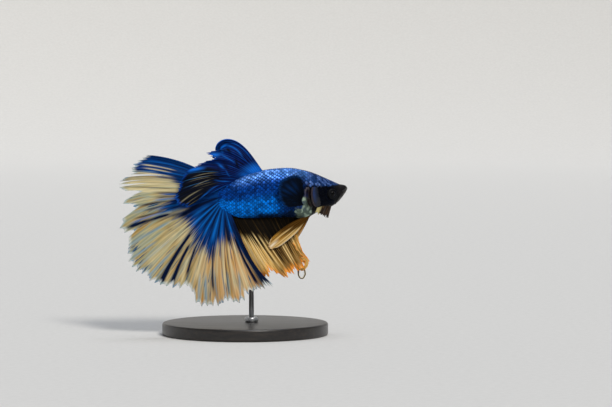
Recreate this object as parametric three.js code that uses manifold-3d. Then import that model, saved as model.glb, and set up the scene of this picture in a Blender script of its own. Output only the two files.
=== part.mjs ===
// A male halfmoon betta (Betta splendens) at life size, held in a swimming pose with flared
// fins by a small display stand. Millimetres, +Z up, head towards +X, right flank towards -Y.
// The origin is the centre of the underside of the stand's base.

import * as THREE from 'three';
import { mergeVertices } from 'three/addons/utils/BufferGeometryUtils.js';
import Module from 'manifold-3d';

const wasm = await Module();
wasm.setup();

const RIGHT = -1;
const LEFT = 1;
const DEGREES = Math.PI / 180;

// ---------------------------------------------------------------- driving dimensions

// The backbone runs along X. It drifts to the left of the fish towards the head, and the
// tail bends to the right.
const SPINE_CENTRE_X = 6;
const SPINE_YAW = 0.2;
const SPINE_BEND = 5.5e-5;

// Stations of the body from the snout to the tail root: height of the back, height of the
// belly and half of the width.
const SNOUT_X = 33.35;
const TAIL_ROOT_X = -7.6;
const STATIONS = [
  { x: SNOUT_X, back: 47.5, belly: 47.2, half: 0.2 },
  { x: 33.2, back: 47.9, belly: 46.7, half: 0.75 },
  { x: 32.7, back: 48.4, belly: 45.8, half: 1.25 },
  { x: 31.8, back: 48.7, belly: 44.5, half: 1.75 },
  { x: 30.2, back: 49.0, belly: 42.7, half: 2.35 },
  { x: 28.2, back: 49.9, belly: 41.4, half: 2.95 },
  { x: 25.5, back: 51.1, belly: 40.8, half: 3.55 },
  { x: 22.5, back: 52.4, belly: 39.0, half: 3.95 },
  { x: 19.8, back: 53.3, belly: 37.7, half: 4.15 },
  { x: 15, back: 54.2, belly: 38.1, half: 4.15 },
  { x: 9, back: 54.0, belly: 38.1, half: 3.85 },
  { x: 3, back: 53.0, belly: 38.0, half: 3.25 },
  { x: -1.6, back: 51.5, belly: 38.1, half: 2.55 },
  { x: -4.6, back: 49.9, belly: 39.1, half: 1.85 },
  { x: TAIL_ROOT_X, back: 48.2, belly: 40.9, half: 0.95 },
];
const WIDEST_LEVEL = 0.54;
const SECTION_POWER = 2.25;
const BODY_RINGS = 34;
const BODY_SIDES = 22;

// The head ends behind the gill openings on a round line, and the tail stalk starts at a
// straight one.
const HEAD_ARC = { x: 30.6, z: 45.5, radius: 11.2 };
const STALK_X = -2.2;
const PARTING = 0.2;

// Cutting bodies reach past the fish on every side.
const CUTTER_REACH = 40;
const CUTTER_SIDES = 64;

// The mouth is turned up: its corner lies just behind the tip of the snout, and the lower
// jaw runs from there down to the throat.
const MOUTH_CORNER = { x: 31.1, z: 46.9 };
const MOUTH_OUTER = { x: 36, z: 47.5 };
const THROAT = { x: 28.4, z: 38 };

// The eyes are flattened balls, turned forwards a little.
const EYE = { x: 28.1, z: 45.8, radius: 1.65, depth: 1.15, sunk: 0.45, forwards: 0.14 };
const EYE_SIDES = 14;
const EYE_RINGS = 10;

// Each gill cover stands out from its hinge line on the cheek. Heights run downwards.
const GILL_COVER = {
  hingeTop: { x: 23.7, z: 48.1 },
  hingeFoot: { x: 25.2, z: 41.7 },
  edgeTop: { x: 21.2, z: 48.1 },
  edgeFoot: { x: 21.9, z: 41.6 },
  cornerCut: 0.2,
  flare: 2.3,
  bow: 0.9,
  sunk: 0.5,
  thickness: 0.55,
  columns: 4,
  rows: 6,
};

// The hollow behind each gill cover leans back at its top.
const GILL_OPENING = { x: 20.9, z: 44.6, long: 1.15, wide: 1.0, high: 3.9, lean: 0.12 };
const OPENING_SIDES = 12;
const OPENING_RINGS = 8;

// The gill membrane is a frill round the throat, from one gill cover to the other. Its root
// is tucked into the throat, and its free edge ripples.
const MEMBRANE = {
  rootX: 28,
  rootZ: 41.4,
  rootRise: 1.1,
  tuck: 0.8,
  wrap: 80 * DEGREES,
  sweep: 3.4,
  drop: 3.3,
  shorterAtEnds: 0.3,
  rootSpread: 2.6,
  flare: 1.6,
  back: 2.2,
  ripple: 0.25,
  rippleTurns: 14,
  thickness: 0.55,
  columns: 14,
  rows: 2,
};

// Fin rays. Each ray leaves the body at x, z with one heading and arrives at the margin with
// another (degrees from +X, anticlockwise seen from the right flank), after its length.
// A hook above 1 keeps the ray straight at first and curls its end. The lean is how far it
// moves to the left of the fish for each millimetre of its length.
const FIN_THICKNESS = 0.55;
const ROOT_DEPTH = 1.3;

const DORSAL = {
  rays: [
    { x: 5.5, z: 53.6, leave: 124, arrive: 293, length: 22.6, hook: 3, lean: 0.03 },
    { x: 4.2, z: 53.3, leave: 125, arrive: 195, length: 13.6, hook: 2.2, lean: 0.0 },
    { x: 2.6, z: 52.8, leave: 136, arrive: 180, length: 16.2, hook: 1.1, lean: -0.05 },
    { x: 1.0, z: 52.3, leave: 142, arrive: 186, length: 14.7, hook: 1, lean: -0.12 },
    { x: -0.3, z: 51.9, leave: 155, arrive: 184, length: 17.4, hook: 1, lean: -0.17 },
    { x: -1.6, z: 51.2, leave: 161, arrive: 195, length: 18.5, hook: 1, lean: -0.22 },
    { x: -2.6, z: 50.7, leave: 173, arrive: 202, length: 18.6, hook: 1, lean: -0.25 },
    { x: -3.5, z: 50.1, leave: 187, arrive: 209, length: 19.4, hook: 1, lean: -0.26 },
    { x: -4.3, z: 49.4, leave: 203, arrive: 213, length: 15.9, hook: 1, lean: -0.28 },
  ],
  rootShift: -0.6,
  pleats: 3,
  pleatDepth: 0.5,
  notches: [
    { ray: 2.5, width: 0.3, depth: 0.14 },
    { ray: 4.0, width: 0.3, depth: 0.12 },
  ],
};
const DORSAL_SPLIT = 2.9;

const CAUDAL = {
  rays: [
    { x: -6.6, z: 48.3, leave: 139, arrive: 176, length: 27.0, hook: 1, lean: 0.05 },
    { x: -7.3, z: 47.6, leave: 156, arrive: 185, length: 31.0, hook: 1, lean: 0.04 },
    { x: -7.7, z: 46.5, leave: 166, arrive: 191, length: 33.0, hook: 1, lean: 0.02 },
    { x: -7.9, z: 45.3, leave: 184, arrive: 214, length: 33.5, hook: 1, lean: -0.02 },
    { x: -7.9, z: 44.1, leave: 212, arrive: 225, length: 34.5, hook: 1, lean: -0.06 },
    { x: -7.8, z: 43.0, leave: 233, arrive: 237, length: 31.7, hook: 1, lean: -0.1 },
    { x: -7.4, z: 42.0, leave: 251, arrive: 262, length: 31.8, hook: 1, lean: -0.12 },
    { x: -6.8, z: 41.2, leave: 268, arrive: 281, length: 30.5, hook: 1, lean: -0.13 },
    { x: -6.0, z: 40.6, leave: 288, arrive: 297, length: 27.6, hook: 1, lean: -0.13 },
    { x: -5.1, z: 40.1, leave: 291, arrive: 325, length: 26.4, hook: 3, lean: -0.12 },
  ],
  rootShift: 0,
  pleats: 6,
  pleatDepth: 0.7,
  notches: [
    { ray: 1.18, width: 0.1, depth: 0.32 },
    { ray: 2.2, width: 0.16, depth: 0.13 },
    { ray: 2.6, width: 0.18, depth: 0.15 },
    { ray: 5.65, width: 0.3, depth: 0.1 },
    { ray: 6.9, width: 0.2, depth: 0.06 },
  ],
};
const CAUDAL_SPLITS = [1.18, 4.6];

const ANAL = {
  rays: [
    { x: -3.9, z: 39.3, leave: 293, arrive: 290, length: 20.5, hook: 1, lean: -0.03 },
    { x: -0.6, z: 38.6, leave: 293, arrive: 292, length: 20.9, hook: 1, lean: -0.05 },
    { x: 2.9, z: 38.6, leave: 292, arrive: 294, length: 21.0, hook: 1, lean: -0.06 },
    { x: 6.5, z: 38.7, leave: 289, arrive: 302, length: 20.4, hook: 1, lean: -0.04 },
    { x: 10.1, z: 38.7, leave: 291, arrive: 298, length: 19.4, hook: 1, lean: 0 },
    { x: 13.0, z: 38.7, leave: 286, arrive: 305, length: 17.5, hook: 1, lean: 0.05 },
    { x: 16.6, z: 38.4, leave: 262, arrive: 303, length: 14.2, hook: 1, lean: 0.08 },
  ],
  rootShift: 0.4,
  pleats: 4,
  pleatDepth: 0.55,
  notches: [
    { ray: 1.5, width: 0.3, depth: 0.07 },
    { ray: 3.4, width: 0.3, depth: 0.09 },
  ],
};
const ANAL_SPLIT = 3.4;

// The right pelvic fin trails back past the anal fin, and the left one hangs steeper.
const PELVIC_RIGHT = {
  rays: [
    { x: 19.5, z: 38.3, leave: 192, arrive: 236, length: 13.9, hook: 1, lean: -0.26 },
    { x: 20.0, z: 37.9, leave: 217, arrive: 219, length: 15.6, hook: 1, lean: -0.26 },
    { x: 20.5, z: 37.7, leave: 234, arrive: 212, length: 13.4, hook: 1, lean: -0.26 },
  ],
  rootShift: -1.1,
  pleats: 1,
  pleatDepth: 0.25,
  notches: [],
};
const PELVIC_LEFT = {
  rays: [
    { x: 19.7, z: 38.2, leave: 212, arrive: 246, length: 11.5, hook: 1, lean: 0.2 },
    { x: 20.2, z: 37.9, leave: 232, arrive: 240, length: 13.5, hook: 1, lean: 0.2 },
    { x: 20.7, z: 37.7, leave: 246, arrive: 232, length: 11.5, hook: 1, lean: 0.2 },
  ],
  rootShift: 1.1,
  pleats: 1,
  pleatDepth: 0.25,
  notches: [],
};

// The pectoral fins fan out from the flank behind each gill opening.
const PECTORAL_RAYS = [
  { x: 19.5, z: 44.7, leave: 100, arrive: 104, length: 7.0, hook: 1 },
  { x: 19.4, z: 44.1, leave: 120, arrive: 128, length: 9.2, hook: 1 },
  { x: 19.3, z: 43.5, leave: 140, arrive: 148, length: 9.8, hook: 1 },
  { x: 19.3, z: 42.9, leave: 164, arrive: 160, length: 8.6, hook: 1 },
  { x: 19.4, z: 42.3, leave: 190, arrive: 180, length: 6.3, hook: 1 },
];
const PECTORAL_LEAN = 0.42;
const PECTORAL_SHIFT = 3.3;
const PECTORAL_PLEATS = { pleats: 2, pleatDepth: 0.2 };
const PECTORAL_COLUMNS = 10;
const PECTORAL_STEPS = 4;

// The stand: a turned base, a collar and one rod that meets the belly beside the anal fin.
const STAND = {
  baseRadius: 27,
  baseHeight: 4,
  baseChamfer: 0.8,
  collarRadius: 2.2,
  collarTaper: 0.4,
  collarHeight: 1.6,
  rodRadius: 0.8,
  rodTop: 46,
  x: 2,
  y: 1.15,
};
const CLEARANCE = 0.1;
const FINE_SIDES = 40;
const ROD_SIDES = 12;

// ---------------------------------------------------------------- solids and meshes

// Points this close together are one point.
const WELD = 1e-4;

function toSolid(geometry) {
  const plain = geometry.clone();
  plain.deleteAttribute('normal');
  plain.deleteAttribute('uv');
  const merged = mergeVertices(plain, WELD);
  return new wasm.Manifold(new wasm.Mesh({
    numProp: 3,
    vertProperties: new Float32Array(merged.attributes.position.array),
    triVerts: new Uint32Array(merged.index.array),
  }));
}

function toGeometry(solid) {
  const mesh = solid.getMesh();
  const geometry = new THREE.BufferGeometry();
  geometry.setAttribute('position', new THREE.BufferAttribute(mesh.vertProperties, 3));
  geometry.setIndex(new THREE.BufferAttribute(mesh.triVerts, 1));
  geometry.computeVertexNormals();
  return geometry;
}

function largestPiece(solid) {
  const pieces = solid.decompose();
  pieces.sort((one, other) => other.volume() - one.volume());
  return pieces[0];
}

function remap(geometry, place) {
  const position = geometry.attributes.position;
  const vertex = new THREE.Vector3();
  for (let i = 0; i < position.count; i += 1) {
    vertex.fromBufferAttribute(position, i);
    const moved = place(vertex);
    position.setXYZ(i, moved.x, moved.y, moved.z);
  }
  return geometry;
}

// ---------------------------------------------------------------- smooth tables

function cubic(before, start, end, after, t) {
  const tangentIn = (end - before) / 2;
  const tangentOut = (after - start) / 2;
  const t2 = t * t;
  const t3 = t2 * t;
  return start * (2 * t3 - 3 * t2 + 1) + end * (3 * t2 - 2 * t3)
    + tangentIn * (t3 - 2 * t2 + t) + tangentOut * (t3 - t2);
}

// The value of one column at a fractional row.
function atRow(rows, column, row) {
  const last = rows.length - 1;
  const first = Math.min(Math.floor(row), last - 1);
  const value = (index) => rows[Math.min(Math.max(index, 0), last)][column];
  return cubic(value(first - 1), value(first), value(first + 1), value(first + 2), row - first);
}

// The fractional row of the station table at a place along the body.
function stationRow(x) {
  const last = STATIONS.length - 1;
  for (let i = 0; i < last; i += 1) {
    if (x >= STATIONS[i + 1].x) {
      return i + (STATIONS[i].x - x) / (STATIONS[i].x - STATIONS[i + 1].x);
    }
  }
  return last;
}

// ---------------------------------------------------------------- the body

function spineY(x) {
  const along = x - SPINE_CENTRE_X;
  return SPINE_YAW * along + SPINE_BEND * along ** 3;
}

function sectionAt(x) {
  const row = stationRow(THREE.MathUtils.clamp(x, TAIL_ROOT_X, SNOUT_X));
  const back = atRow(STATIONS, 'back', row);
  const belly = atRow(STATIONS, 'belly', row);
  const half = atRow(STATIONS, 'half', row);
  return { back, belly, half, level: belly + WIDEST_LEVEL * (back - belly) };
}

// Half of the body's width at a place on its side.
function flankHalf(x, z) {
  const section = sectionAt(x);
  const height = z > section.level ? section.back - section.level : section.level - section.belly;
  const share = Math.min(Math.abs(z - section.level) / height, 1);
  return section.half * (1 - share ** SECTION_POWER) ** (1 / SECTION_POWER);
}

function bodySolid(grow) {
  const shape = new THREE.SphereGeometry(1, BODY_SIDES, BODY_RINGS);
  const rounded = (value) => Math.sign(value) * Math.abs(value) ** (2 / SECTION_POWER);
  return toSolid(remap(shape, (vertex) => {
    const middle = (SNOUT_X + TAIL_ROOT_X) / 2;
    const reach = (SNOUT_X - TAIL_ROOT_X) / 2;
    const x = middle + reach * vertex.y;
    const radius = Math.hypot(vertex.x, vertex.z);
    const section = sectionAt(x);
    const atPole = radius < WELD;
    const y = atPole ? 0 : rounded(vertex.z / radius) * (section.half + grow);
    const rise = atPole ? 0 : rounded(vertex.x / radius);
    const height = rise > 0 ? section.back - section.level : section.level - section.belly;
    return new THREE.Vector3(
      x + grow * vertex.y,
      spineY(x) + y,
      section.level + rise * (height + grow),
    );
  }));
}

const body = bodySolid(0);
const bodyWithGap = bodySolid(CLEARANCE);

function headZone(grow) {
  const radius = HEAD_ARC.radius + grow;
  const zone = new THREE.CylinderGeometry(radius, radius, CUTTER_REACH, CUTTER_SIDES);
  zone.translate(HEAD_ARC.x, 0, HEAD_ARC.z);
  return toSolid(zone);
}

function jawZone(grow) {
  const outline = new THREE.Shape([
    new THREE.Vector2(MOUTH_CORNER.x - grow, MOUTH_CORNER.z + grow),
    new THREE.Vector2(THROAT.x - grow, THROAT.z),
    new THREE.Vector2(MOUTH_OUTER.x, THROAT.z),
    new THREE.Vector2(MOUTH_OUTER.x, MOUTH_OUTER.z + grow),
  ]);
  const zone = new THREE.ExtrudeGeometry(outline, { depth: CUTTER_REACH, bevelEnabled: false });
  zone.rotateX(90 * DEGREES);
  zone.translate(0, CUTTER_REACH / 2, 0);
  return toSolid(zone);
}

function stalkZone(endX) {
  const zone = new THREE.BoxGeometry(CUTTER_REACH, CUTTER_REACH, 2 * CUTTER_REACH);
  zone.translate(endX - CUTTER_REACH / 2, 0, CUTTER_REACH);
  return toSolid(zone);
}

function eyeSolid(side, grow) {
  const ball = new THREE.SphereGeometry(1, EYE_SIDES, EYE_RINGS);
  ball.scale(EYE.radius + grow, EYE.depth + grow, EYE.radius + grow);
  ball.rotateZ(Math.atan(SPINE_YAW) - side * EYE.forwards);
  const out = flankHalf(EYE.x, EYE.z) - EYE.sunk;
  ball.translate(EYE.x, spineY(EYE.x) + side * out, EYE.z);
  return toSolid(ball);
}

function gillOpening(side) {
  const hollow = new THREE.SphereGeometry(1, OPENING_SIDES, OPENING_RINGS);
  hollow.scale(GILL_OPENING.long, GILL_OPENING.wide, GILL_OPENING.high);
  hollow.rotateY(-GILL_OPENING.lean);
  const out = flankHalf(GILL_OPENING.x, GILL_OPENING.z);
  hollow.translate(GILL_OPENING.x, spineY(GILL_OPENING.x) + side * out, GILL_OPENING.z);
  return toSolid(hollow);
}

function headSolid() {
  let head = body.intersect(headZone(-PARTING / 2)).subtract(jawZone(PARTING / 2));
  for (const side of [RIGHT, LEFT]) {
    head = head.subtract(eyeSolid(side, CLEARANCE)).subtract(gillOpening(side));
  }
  return largestPiece(head);
}

function trunkSolid() {
  return largestPiece(body.subtract(headZone(PARTING / 2)).subtract(stalkZone(STALK_X)));
}

function gillCoverSolid(side, grow) {
  const cover = GILL_COVER;
  const plate = new THREE.BoxGeometry(1, 1, 1, cover.columns, 1, cover.rows);
  const mix = THREE.MathUtils.lerp;
  const surface = (across, down) => {
    const share = across * (1 - cover.cornerCut * Math.abs(2 * down - 1) ** 3);
    const hingeX = mix(cover.hingeTop.x, cover.hingeFoot.x, down);
    const hingeZ = mix(cover.hingeTop.z, cover.hingeFoot.z, down);
    const edgeX = mix(cover.edgeTop.x, cover.edgeFoot.x, down);
    const edgeZ = mix(cover.edgeTop.z, cover.edgeFoot.z, down);
    const x = mix(hingeX, edgeX, share);
    const z = mix(hingeZ, edgeZ, share);
    const lift = (cover.flare + cover.sunk) * share ** cover.bow;
    const out = flankHalf(hingeX, hingeZ) - cover.sunk + lift;
    return new THREE.Vector3(x, spineY(x) + side * out, z);
  };
  return sheetSolid(plate, surface, cover.thickness + 2 * grow, side);
}

function gillMembraneSolid() {
  const frill = new THREE.BoxGeometry(1, 1, 1, MEMBRANE.columns, 1, MEMBRANE.rows);
  const surface = (across, down) => {
    const turn = 2 * across - 1;
    const outward = Math.sin(turn * MEMBRANE.wrap);
    const x = MEMBRANE.rootX - MEMBRANE.sweep * turn * turn - MEMBRANE.back * down;
    const root = MEMBRANE.rootZ + MEMBRANE.rootRise * turn * turn + MEMBRANE.tuck;
    const drop = (MEMBRANE.drop + MEMBRANE.tuck) * (1 - MEMBRANE.shorterAtEnds * turn * turn);
    const ripple = MEMBRANE.ripple * Math.sin(turn * MEMBRANE.rippleTurns);
    const z = root + (ripple - drop) * down;
    const y = spineY(x) + outward * (MEMBRANE.rootSpread + MEMBRANE.flare * down);
    return new THREE.Vector3(x, y, z);
  };
  return sheetSolid(frill, surface, MEMBRANE.thickness, 1);
}

// ---------------------------------------------------------------- thin curved sheets

// How far apart, as a share of the sheet, the points are that give its slope.
const SLOPE_STEP = 1e-3;

// A block is bent round a surface: its X runs across the sheet, its Z along it, and its Y
// is the thickness.
function sheetSolid(block, surface, thickness, turn) {
  const step = SLOPE_STEP;
  return toSolid(remap(block, (vertex) => {
    const across = turn > 0 ? vertex.x + 0.5 : 0.5 - vertex.x;
    const along = vertex.z + 0.5;
    const centre = surface(across, along);
    const low = Math.max(across - step, 0);
    const high = Math.min(across + step, 1);
    const near = Math.max(along - step, 0);
    const far = Math.min(along + step, 1);
    const acrossWay = surface(high, along).sub(surface(low, along)).multiplyScalar(turn);
    const alongWay = surface(across, far).sub(surface(across, near));
    const normal = alongWay.cross(acrossWay).normalize();
    return centre.addScaledVector(normal, vertex.y * thickness);
  }));
}

// ---------------------------------------------------------------- fins

const RAY_STEPS = 24;

// How much of the ray's length is left where the margin is torn or pointed.
function marginShare(fin, row) {
  let share = 1;
  for (const notch of fin.notches) {
    const away = Math.abs(row - notch.ray) / notch.width;
    share -= notch.depth * Math.exp(-away * away);
  }
  return share;
}

function finPoint(fin, row, reach) {
  const rays = fin.rays;
  const leave = atRow(rays, 'leave', row) * DEGREES;
  const arrive = atRow(rays, 'arrive', row) * DEGREES;
  const length = atRow(rays, 'length', row);
  const hook = atRow(rays, 'hook', row);
  let x = atRow(rays, 'x', row) - ROOT_DEPTH * Math.cos(leave);
  let z = atRow(rays, 'z', row) - ROOT_DEPTH * Math.sin(leave);
  const walked = reach * (length * marginShare(fin, row) + ROOT_DEPTH);
  const inside = Math.min(walked, ROOT_DEPTH);
  x += inside * Math.cos(leave);
  z += inside * Math.sin(leave);
  const outside = walked - inside;
  for (let i = 0; i < RAY_STEPS; i += 1) {
    const share = (outside / length) * (i + 0.5) / RAY_STEPS;
    const heading = leave + (arrive - leave) * share ** hook;
    x += (outside / RAY_STEPS) * Math.cos(heading);
    z += (outside / RAY_STEPS) * Math.sin(heading);
  }
  const turns = fin.pleats * row / (rays.length - 1);
  const pleat = fin.pleatDepth * (outside / length) ** 1.5 * Math.sin(2 * Math.PI * turns);
  const root = spineY(fin.besideBody ? x : atRow(rays, 'x', row)) + fin.rootShift;
  const y = root + atRow(rays, 'lean', row) * outside + pleat;
  return new THREE.Vector3(x, y, z);
}

// The stretch of a fin between two fractional rays, trimmed to the body's surface.
function finSolid(fin, fromRow, toRow, columns, steps) {
  const block = new THREE.BoxGeometry(1, 1, 1, columns, 1, steps);
  const surface = (across, along) => finPoint(fin, fromRow + (toRow - fromRow) * across, along);
  return largestPiece(sheetSolid(block, surface, FIN_THICKNESS, 1).subtract(bodyWithGap));
}

function pectoralFin(side) {
  const rays = PECTORAL_RAYS.map((ray) => ({ ...ray, lean: side * PECTORAL_LEAN }));
  const rootShift = side * PECTORAL_SHIFT;
  return { rays, rootShift, besideBody: true, notches: [], ...PECTORAL_PLEATS };
}

// ---------------------------------------------------------------- the stand

function standBaseGeometry() {
  const { baseRadius, baseHeight, baseChamfer } = STAND;
  return new THREE.LatheGeometry([
    new THREE.Vector2(0, 0),
    new THREE.Vector2(baseRadius, 0),
    new THREE.Vector2(baseRadius, baseHeight - baseChamfer),
    new THREE.Vector2(baseRadius - baseChamfer, baseHeight),
    new THREE.Vector2(0, baseHeight),
  ], FINE_SIDES).rotateX(90 * DEGREES);
}

function standCollarGeometry() {
  const { collarRadius, collarTaper, collarHeight, rodRadius } = STAND;
  const bore = rodRadius + CLEARANCE;
  return new THREE.LatheGeometry([
    new THREE.Vector2(bore, 0),
    new THREE.Vector2(collarRadius, 0),
    new THREE.Vector2(collarRadius - collarTaper, collarHeight),
    new THREE.Vector2(bore, collarHeight),
    new THREE.Vector2(bore, 0),
  ], ROD_SIDES).rotateX(90 * DEGREES);
}

function standRodGeometry() {
  const length = STAND.rodTop - STAND.baseHeight;
  const rod = new THREE.CylinderGeometry(STAND.rodRadius, STAND.rodRadius, length, ROD_SIDES);
  rod.rotateX(90 * DEGREES);
  rod.translate(STAND.x, STAND.y, STAND.baseHeight + length / 2);
  return toGeometry(largestPiece(toSolid(rod).subtract(bodyWithGap)));
}

// ---------------------------------------------------------------- finishes

function finish(colour, roughness, metalness = 0) {
  return new THREE.MeshStandardMaterial({ color: colour, roughness, metalness });
}

const FINISHES = {
  scales: finish(0x2a6fd6, 0.4),
  headSkin: finish(0x2b3350, 0.45),
  jawSkin: finish(0x6c6660, 0.5),
  gillSkin: finish(0x4c4a58, 0.45),
  membrane: finish(0xcdb98a, 0.6),
  eye: finish(0x07080c, 0.08),
  blueFin: finish(0x1f62c8, 0.45),
  creamFin: finish(0xe2cfa8, 0.5),
  goldFin: finish(0xdca94a, 0.5),
  veil: finish(0x1c2740, 0.4),
  standBase: finish(0x1c1b1a, 0.35),
  standMetal: finish(0xb9bcc0, 0.3, 1),
};

// ---------------------------------------------------------------- assembly

function piece(name, geometry, material) {
  const mesh = new THREE.Mesh(geometry, material);
  mesh.name = name;
  return mesh;
}

function solidPiece(name, solid, material) {
  return piece(name, toGeometry(solid), material);
}

const SIDES = [['right', RIGHT], ['left', LEFT]];
const fish = new THREE.Group();
const head = headSolid();
const jaw = largestPiece(body.intersect(jawZone(-PARTING / 2)));
fish.add(solidPiece('head', head, FINISHES.headSkin));
fish.add(solidPiece('lower_jaw', jaw, FINISHES.jawSkin));
fish.add(solidPiece('trunk', trunkSolid(), FINISHES.scales));
fish.add(solidPiece('tail_stalk', body.intersect(stalkZone(STALK_X - PARTING)), FINISHES.scales));

const covers = SIDES.map(([, side]) => largestPiece(gillCoverSolid(side, 0).subtract(bodyWithGap)));
SIDES.forEach(([word, side], index) => {
  fish.add(solidPiece(`eye_${word}`, eyeSolid(side, 0), FINISHES.eye));
  fish.add(solidPiece(`gill_cover_${word}`, covers[index], FINISHES.gillSkin));
  const lastRay = PECTORAL_RAYS.length - 1;
  const pectoral = finSolid(pectoralFin(side), 0, lastRay, PECTORAL_COLUMNS, PECTORAL_STEPS);
  fish.add(solidPiece(`pectoral_fin_${word}`, pectoral, FINISHES.veil));
});
const coversWithGap = gillCoverSolid(RIGHT, CLEARANCE).add(gillCoverSolid(LEFT, CLEARANCE));
const membrane = largestPiece(gillMembraneSolid().subtract(bodyWithGap).subtract(coversWithGap));
fish.add(solidPiece('gill_membrane', membrane, FINISHES.membrane));

// Each fin on the middle line is parted along a ray into lobes: the names, the rays that
// part them, and each lobe's columns across and steps along its rays. A thin gap is left
// at each parting.
const SPLIT_GAP = 0.05;
const FINS = [
  {
    fin: DORSAL,
    splits: [DORSAL_SPLIT],
    lobes: [
      { name: 'dorsal_fin_front', columns: 12, steps: 10, material: FINISHES.blueFin },
      { name: 'dorsal_fin_rear', columns: 15, steps: 6, material: FINISHES.blueFin },
    ],
  },
  {
    fin: CAUDAL,
    splits: CAUDAL_SPLITS,
    lobes: [
      { name: 'caudal_fin_upper', columns: 6, steps: 7, material: FINISHES.blueFin },
      { name: 'caudal_fin_middle', columns: 19, steps: 6, material: FINISHES.creamFin },
      { name: 'caudal_fin_lower', columns: 24, steps: 6, material: FINISHES.creamFin },
    ],
  },
  {
    fin: ANAL,
    splits: [ANAL_SPLIT],
    lobes: [
      { name: 'anal_fin_rear', columns: 14, steps: 5, material: FINISHES.goldFin },
      { name: 'anal_fin_front', columns: 10, steps: 5, material: FINISHES.goldFin },
    ],
  },
  {
    fin: PELVIC_RIGHT,
    splits: [],
    lobes: [{ name: 'pelvic_fin_right', columns: 4, steps: 6, material: FINISHES.goldFin }],
  },
  {
    fin: PELVIC_LEFT,
    splits: [],
    lobes: [{ name: 'pelvic_fin_left', columns: 4, steps: 6, material: FINISHES.goldFin }],
  },
];
for (const { fin, splits, lobes } of FINS) {
  const lastRay = fin.rays.length - 1;
  lobes.forEach(({ name, columns, steps, material }, index) => {
    const start = index === 0 ? 0 : splits[index - 1] + SPLIT_GAP;
    const end = index === splits.length ? lastRay : splits[index] - SPLIT_GAP;
    fish.add(solidPiece(name, finSolid(fin, start, end, columns, steps), material));
  });
}

const stand = new THREE.Group();
stand.add(piece('stand_base', standBaseGeometry(), FINISHES.standBase));
const collar = piece('stand_collar', standCollarGeometry(), FINISHES.standMetal);
collar.position.set(STAND.x, STAND.y, STAND.baseHeight);
stand.add(collar);
stand.add(piece('stand_rod', standRodGeometry(), FINISHES.standMetal));

const betta = new THREE.Group();
betta.add(fish);
betta.add(stand);

export default betta;
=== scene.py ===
"""A male halfmoon betta as a life-size display model: skin, scales, fins, eyes and stand.

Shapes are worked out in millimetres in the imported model's own frame (+Z up, snout towards
+X, right flank towards -Y) and are turned to metres when a mesh is made.
"""
import math
from functools import partial

import bpy
import numpy as np
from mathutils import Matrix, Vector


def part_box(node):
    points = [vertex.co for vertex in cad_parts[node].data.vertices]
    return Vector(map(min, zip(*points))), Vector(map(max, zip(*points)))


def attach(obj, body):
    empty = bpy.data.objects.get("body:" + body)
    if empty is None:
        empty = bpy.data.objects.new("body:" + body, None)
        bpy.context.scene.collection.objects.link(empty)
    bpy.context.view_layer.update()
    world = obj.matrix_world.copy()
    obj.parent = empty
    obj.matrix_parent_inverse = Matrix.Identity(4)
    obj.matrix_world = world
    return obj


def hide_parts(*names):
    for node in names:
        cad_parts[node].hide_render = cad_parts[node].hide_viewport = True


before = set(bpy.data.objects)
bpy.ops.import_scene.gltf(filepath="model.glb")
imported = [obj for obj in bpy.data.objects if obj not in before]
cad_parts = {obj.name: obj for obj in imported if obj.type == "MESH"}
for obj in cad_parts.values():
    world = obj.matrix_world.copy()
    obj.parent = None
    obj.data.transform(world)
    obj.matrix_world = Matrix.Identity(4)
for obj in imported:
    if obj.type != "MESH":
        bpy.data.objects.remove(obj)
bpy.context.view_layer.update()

MM = 0.001
RIGHT = -1
LEFT = 1
SIDES = {"right": RIGHT, "left": LEFT}
random_source = np.random.default_rng(41)

# ---------------------------------------------------------------- body shape

SPINE_CENTRE_X = 6.0
SPINE_YAW = 0.2
SPINE_BEND = 5.5e-5

# Stations from the snout to the tail root: place along the body, back, belly, half width.
# The last two carry the skin on over the root of the tail fin.
STATIONS = np.array([
    (33.35, 47.5, 47.2, 0.2),
    (33.2, 47.9, 46.7, 0.75),
    (32.7, 48.4, 45.8, 1.25),
    (31.8, 48.7, 44.5, 1.75),
    (30.2, 49.0, 42.7, 2.35),
    (28.2, 49.9, 41.4, 2.95),
    (25.5, 51.1, 40.8, 3.55),
    (22.5, 52.4, 39.0, 3.95),
    (19.8, 53.3, 37.7, 4.15),
    (15.0, 54.2, 38.1, 4.15),
    (9.0, 54.0, 38.1, 3.85),
    (3.0, 53.0, 38.0, 3.25),
    (-1.6, 51.5, 38.1, 2.55),
    (-4.6, 49.9, 39.1, 1.85),
    (-7.6, 48.2, 40.9, 0.95),
    (-9.0, 47.5, 41.7, 0.45),
    (-10.4, 45.6, 43.5, 0.1),
])
SNOUT_X = STATIONS[0, 0]
SKIN_END_X = STATIONS[-1, 0]
TAIL_ROOT_X = STATIONS[-3, 0]
WIDEST_LEVEL = 0.54
SECTION_POWER = 2.25

# The scales stand this much over the skin, so the skin lies this much inside the solids.
COAT_DEPTH = 0.14


def cubic(rows, place):
    """Catmull-Rom values of a table's columns at fractional rows."""
    last = len(rows) - 1
    first = np.clip(np.floor(place).astype(int), 0, last - 1)
    t = (place - first)[..., None]
    before, start, end, after = (rows[np.clip(first + step, 0, last)] for step in (-1, 0, 1, 2))
    t2 = t * t
    t3 = t2 * t
    return (start * (2 * t3 - 3 * t2 + 1) + end * (3 * t2 - 2 * t3)
            + (end - before) / 2 * (t3 - 2 * t2 + t) + (after - start) / 2 * (t3 - t2))


def spine_y(x):
    """Where the bent backbone lies across the fish."""
    along = x - SPINE_CENTRE_X
    return SPINE_YAW * along + SPINE_BEND * along ** 3


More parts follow.
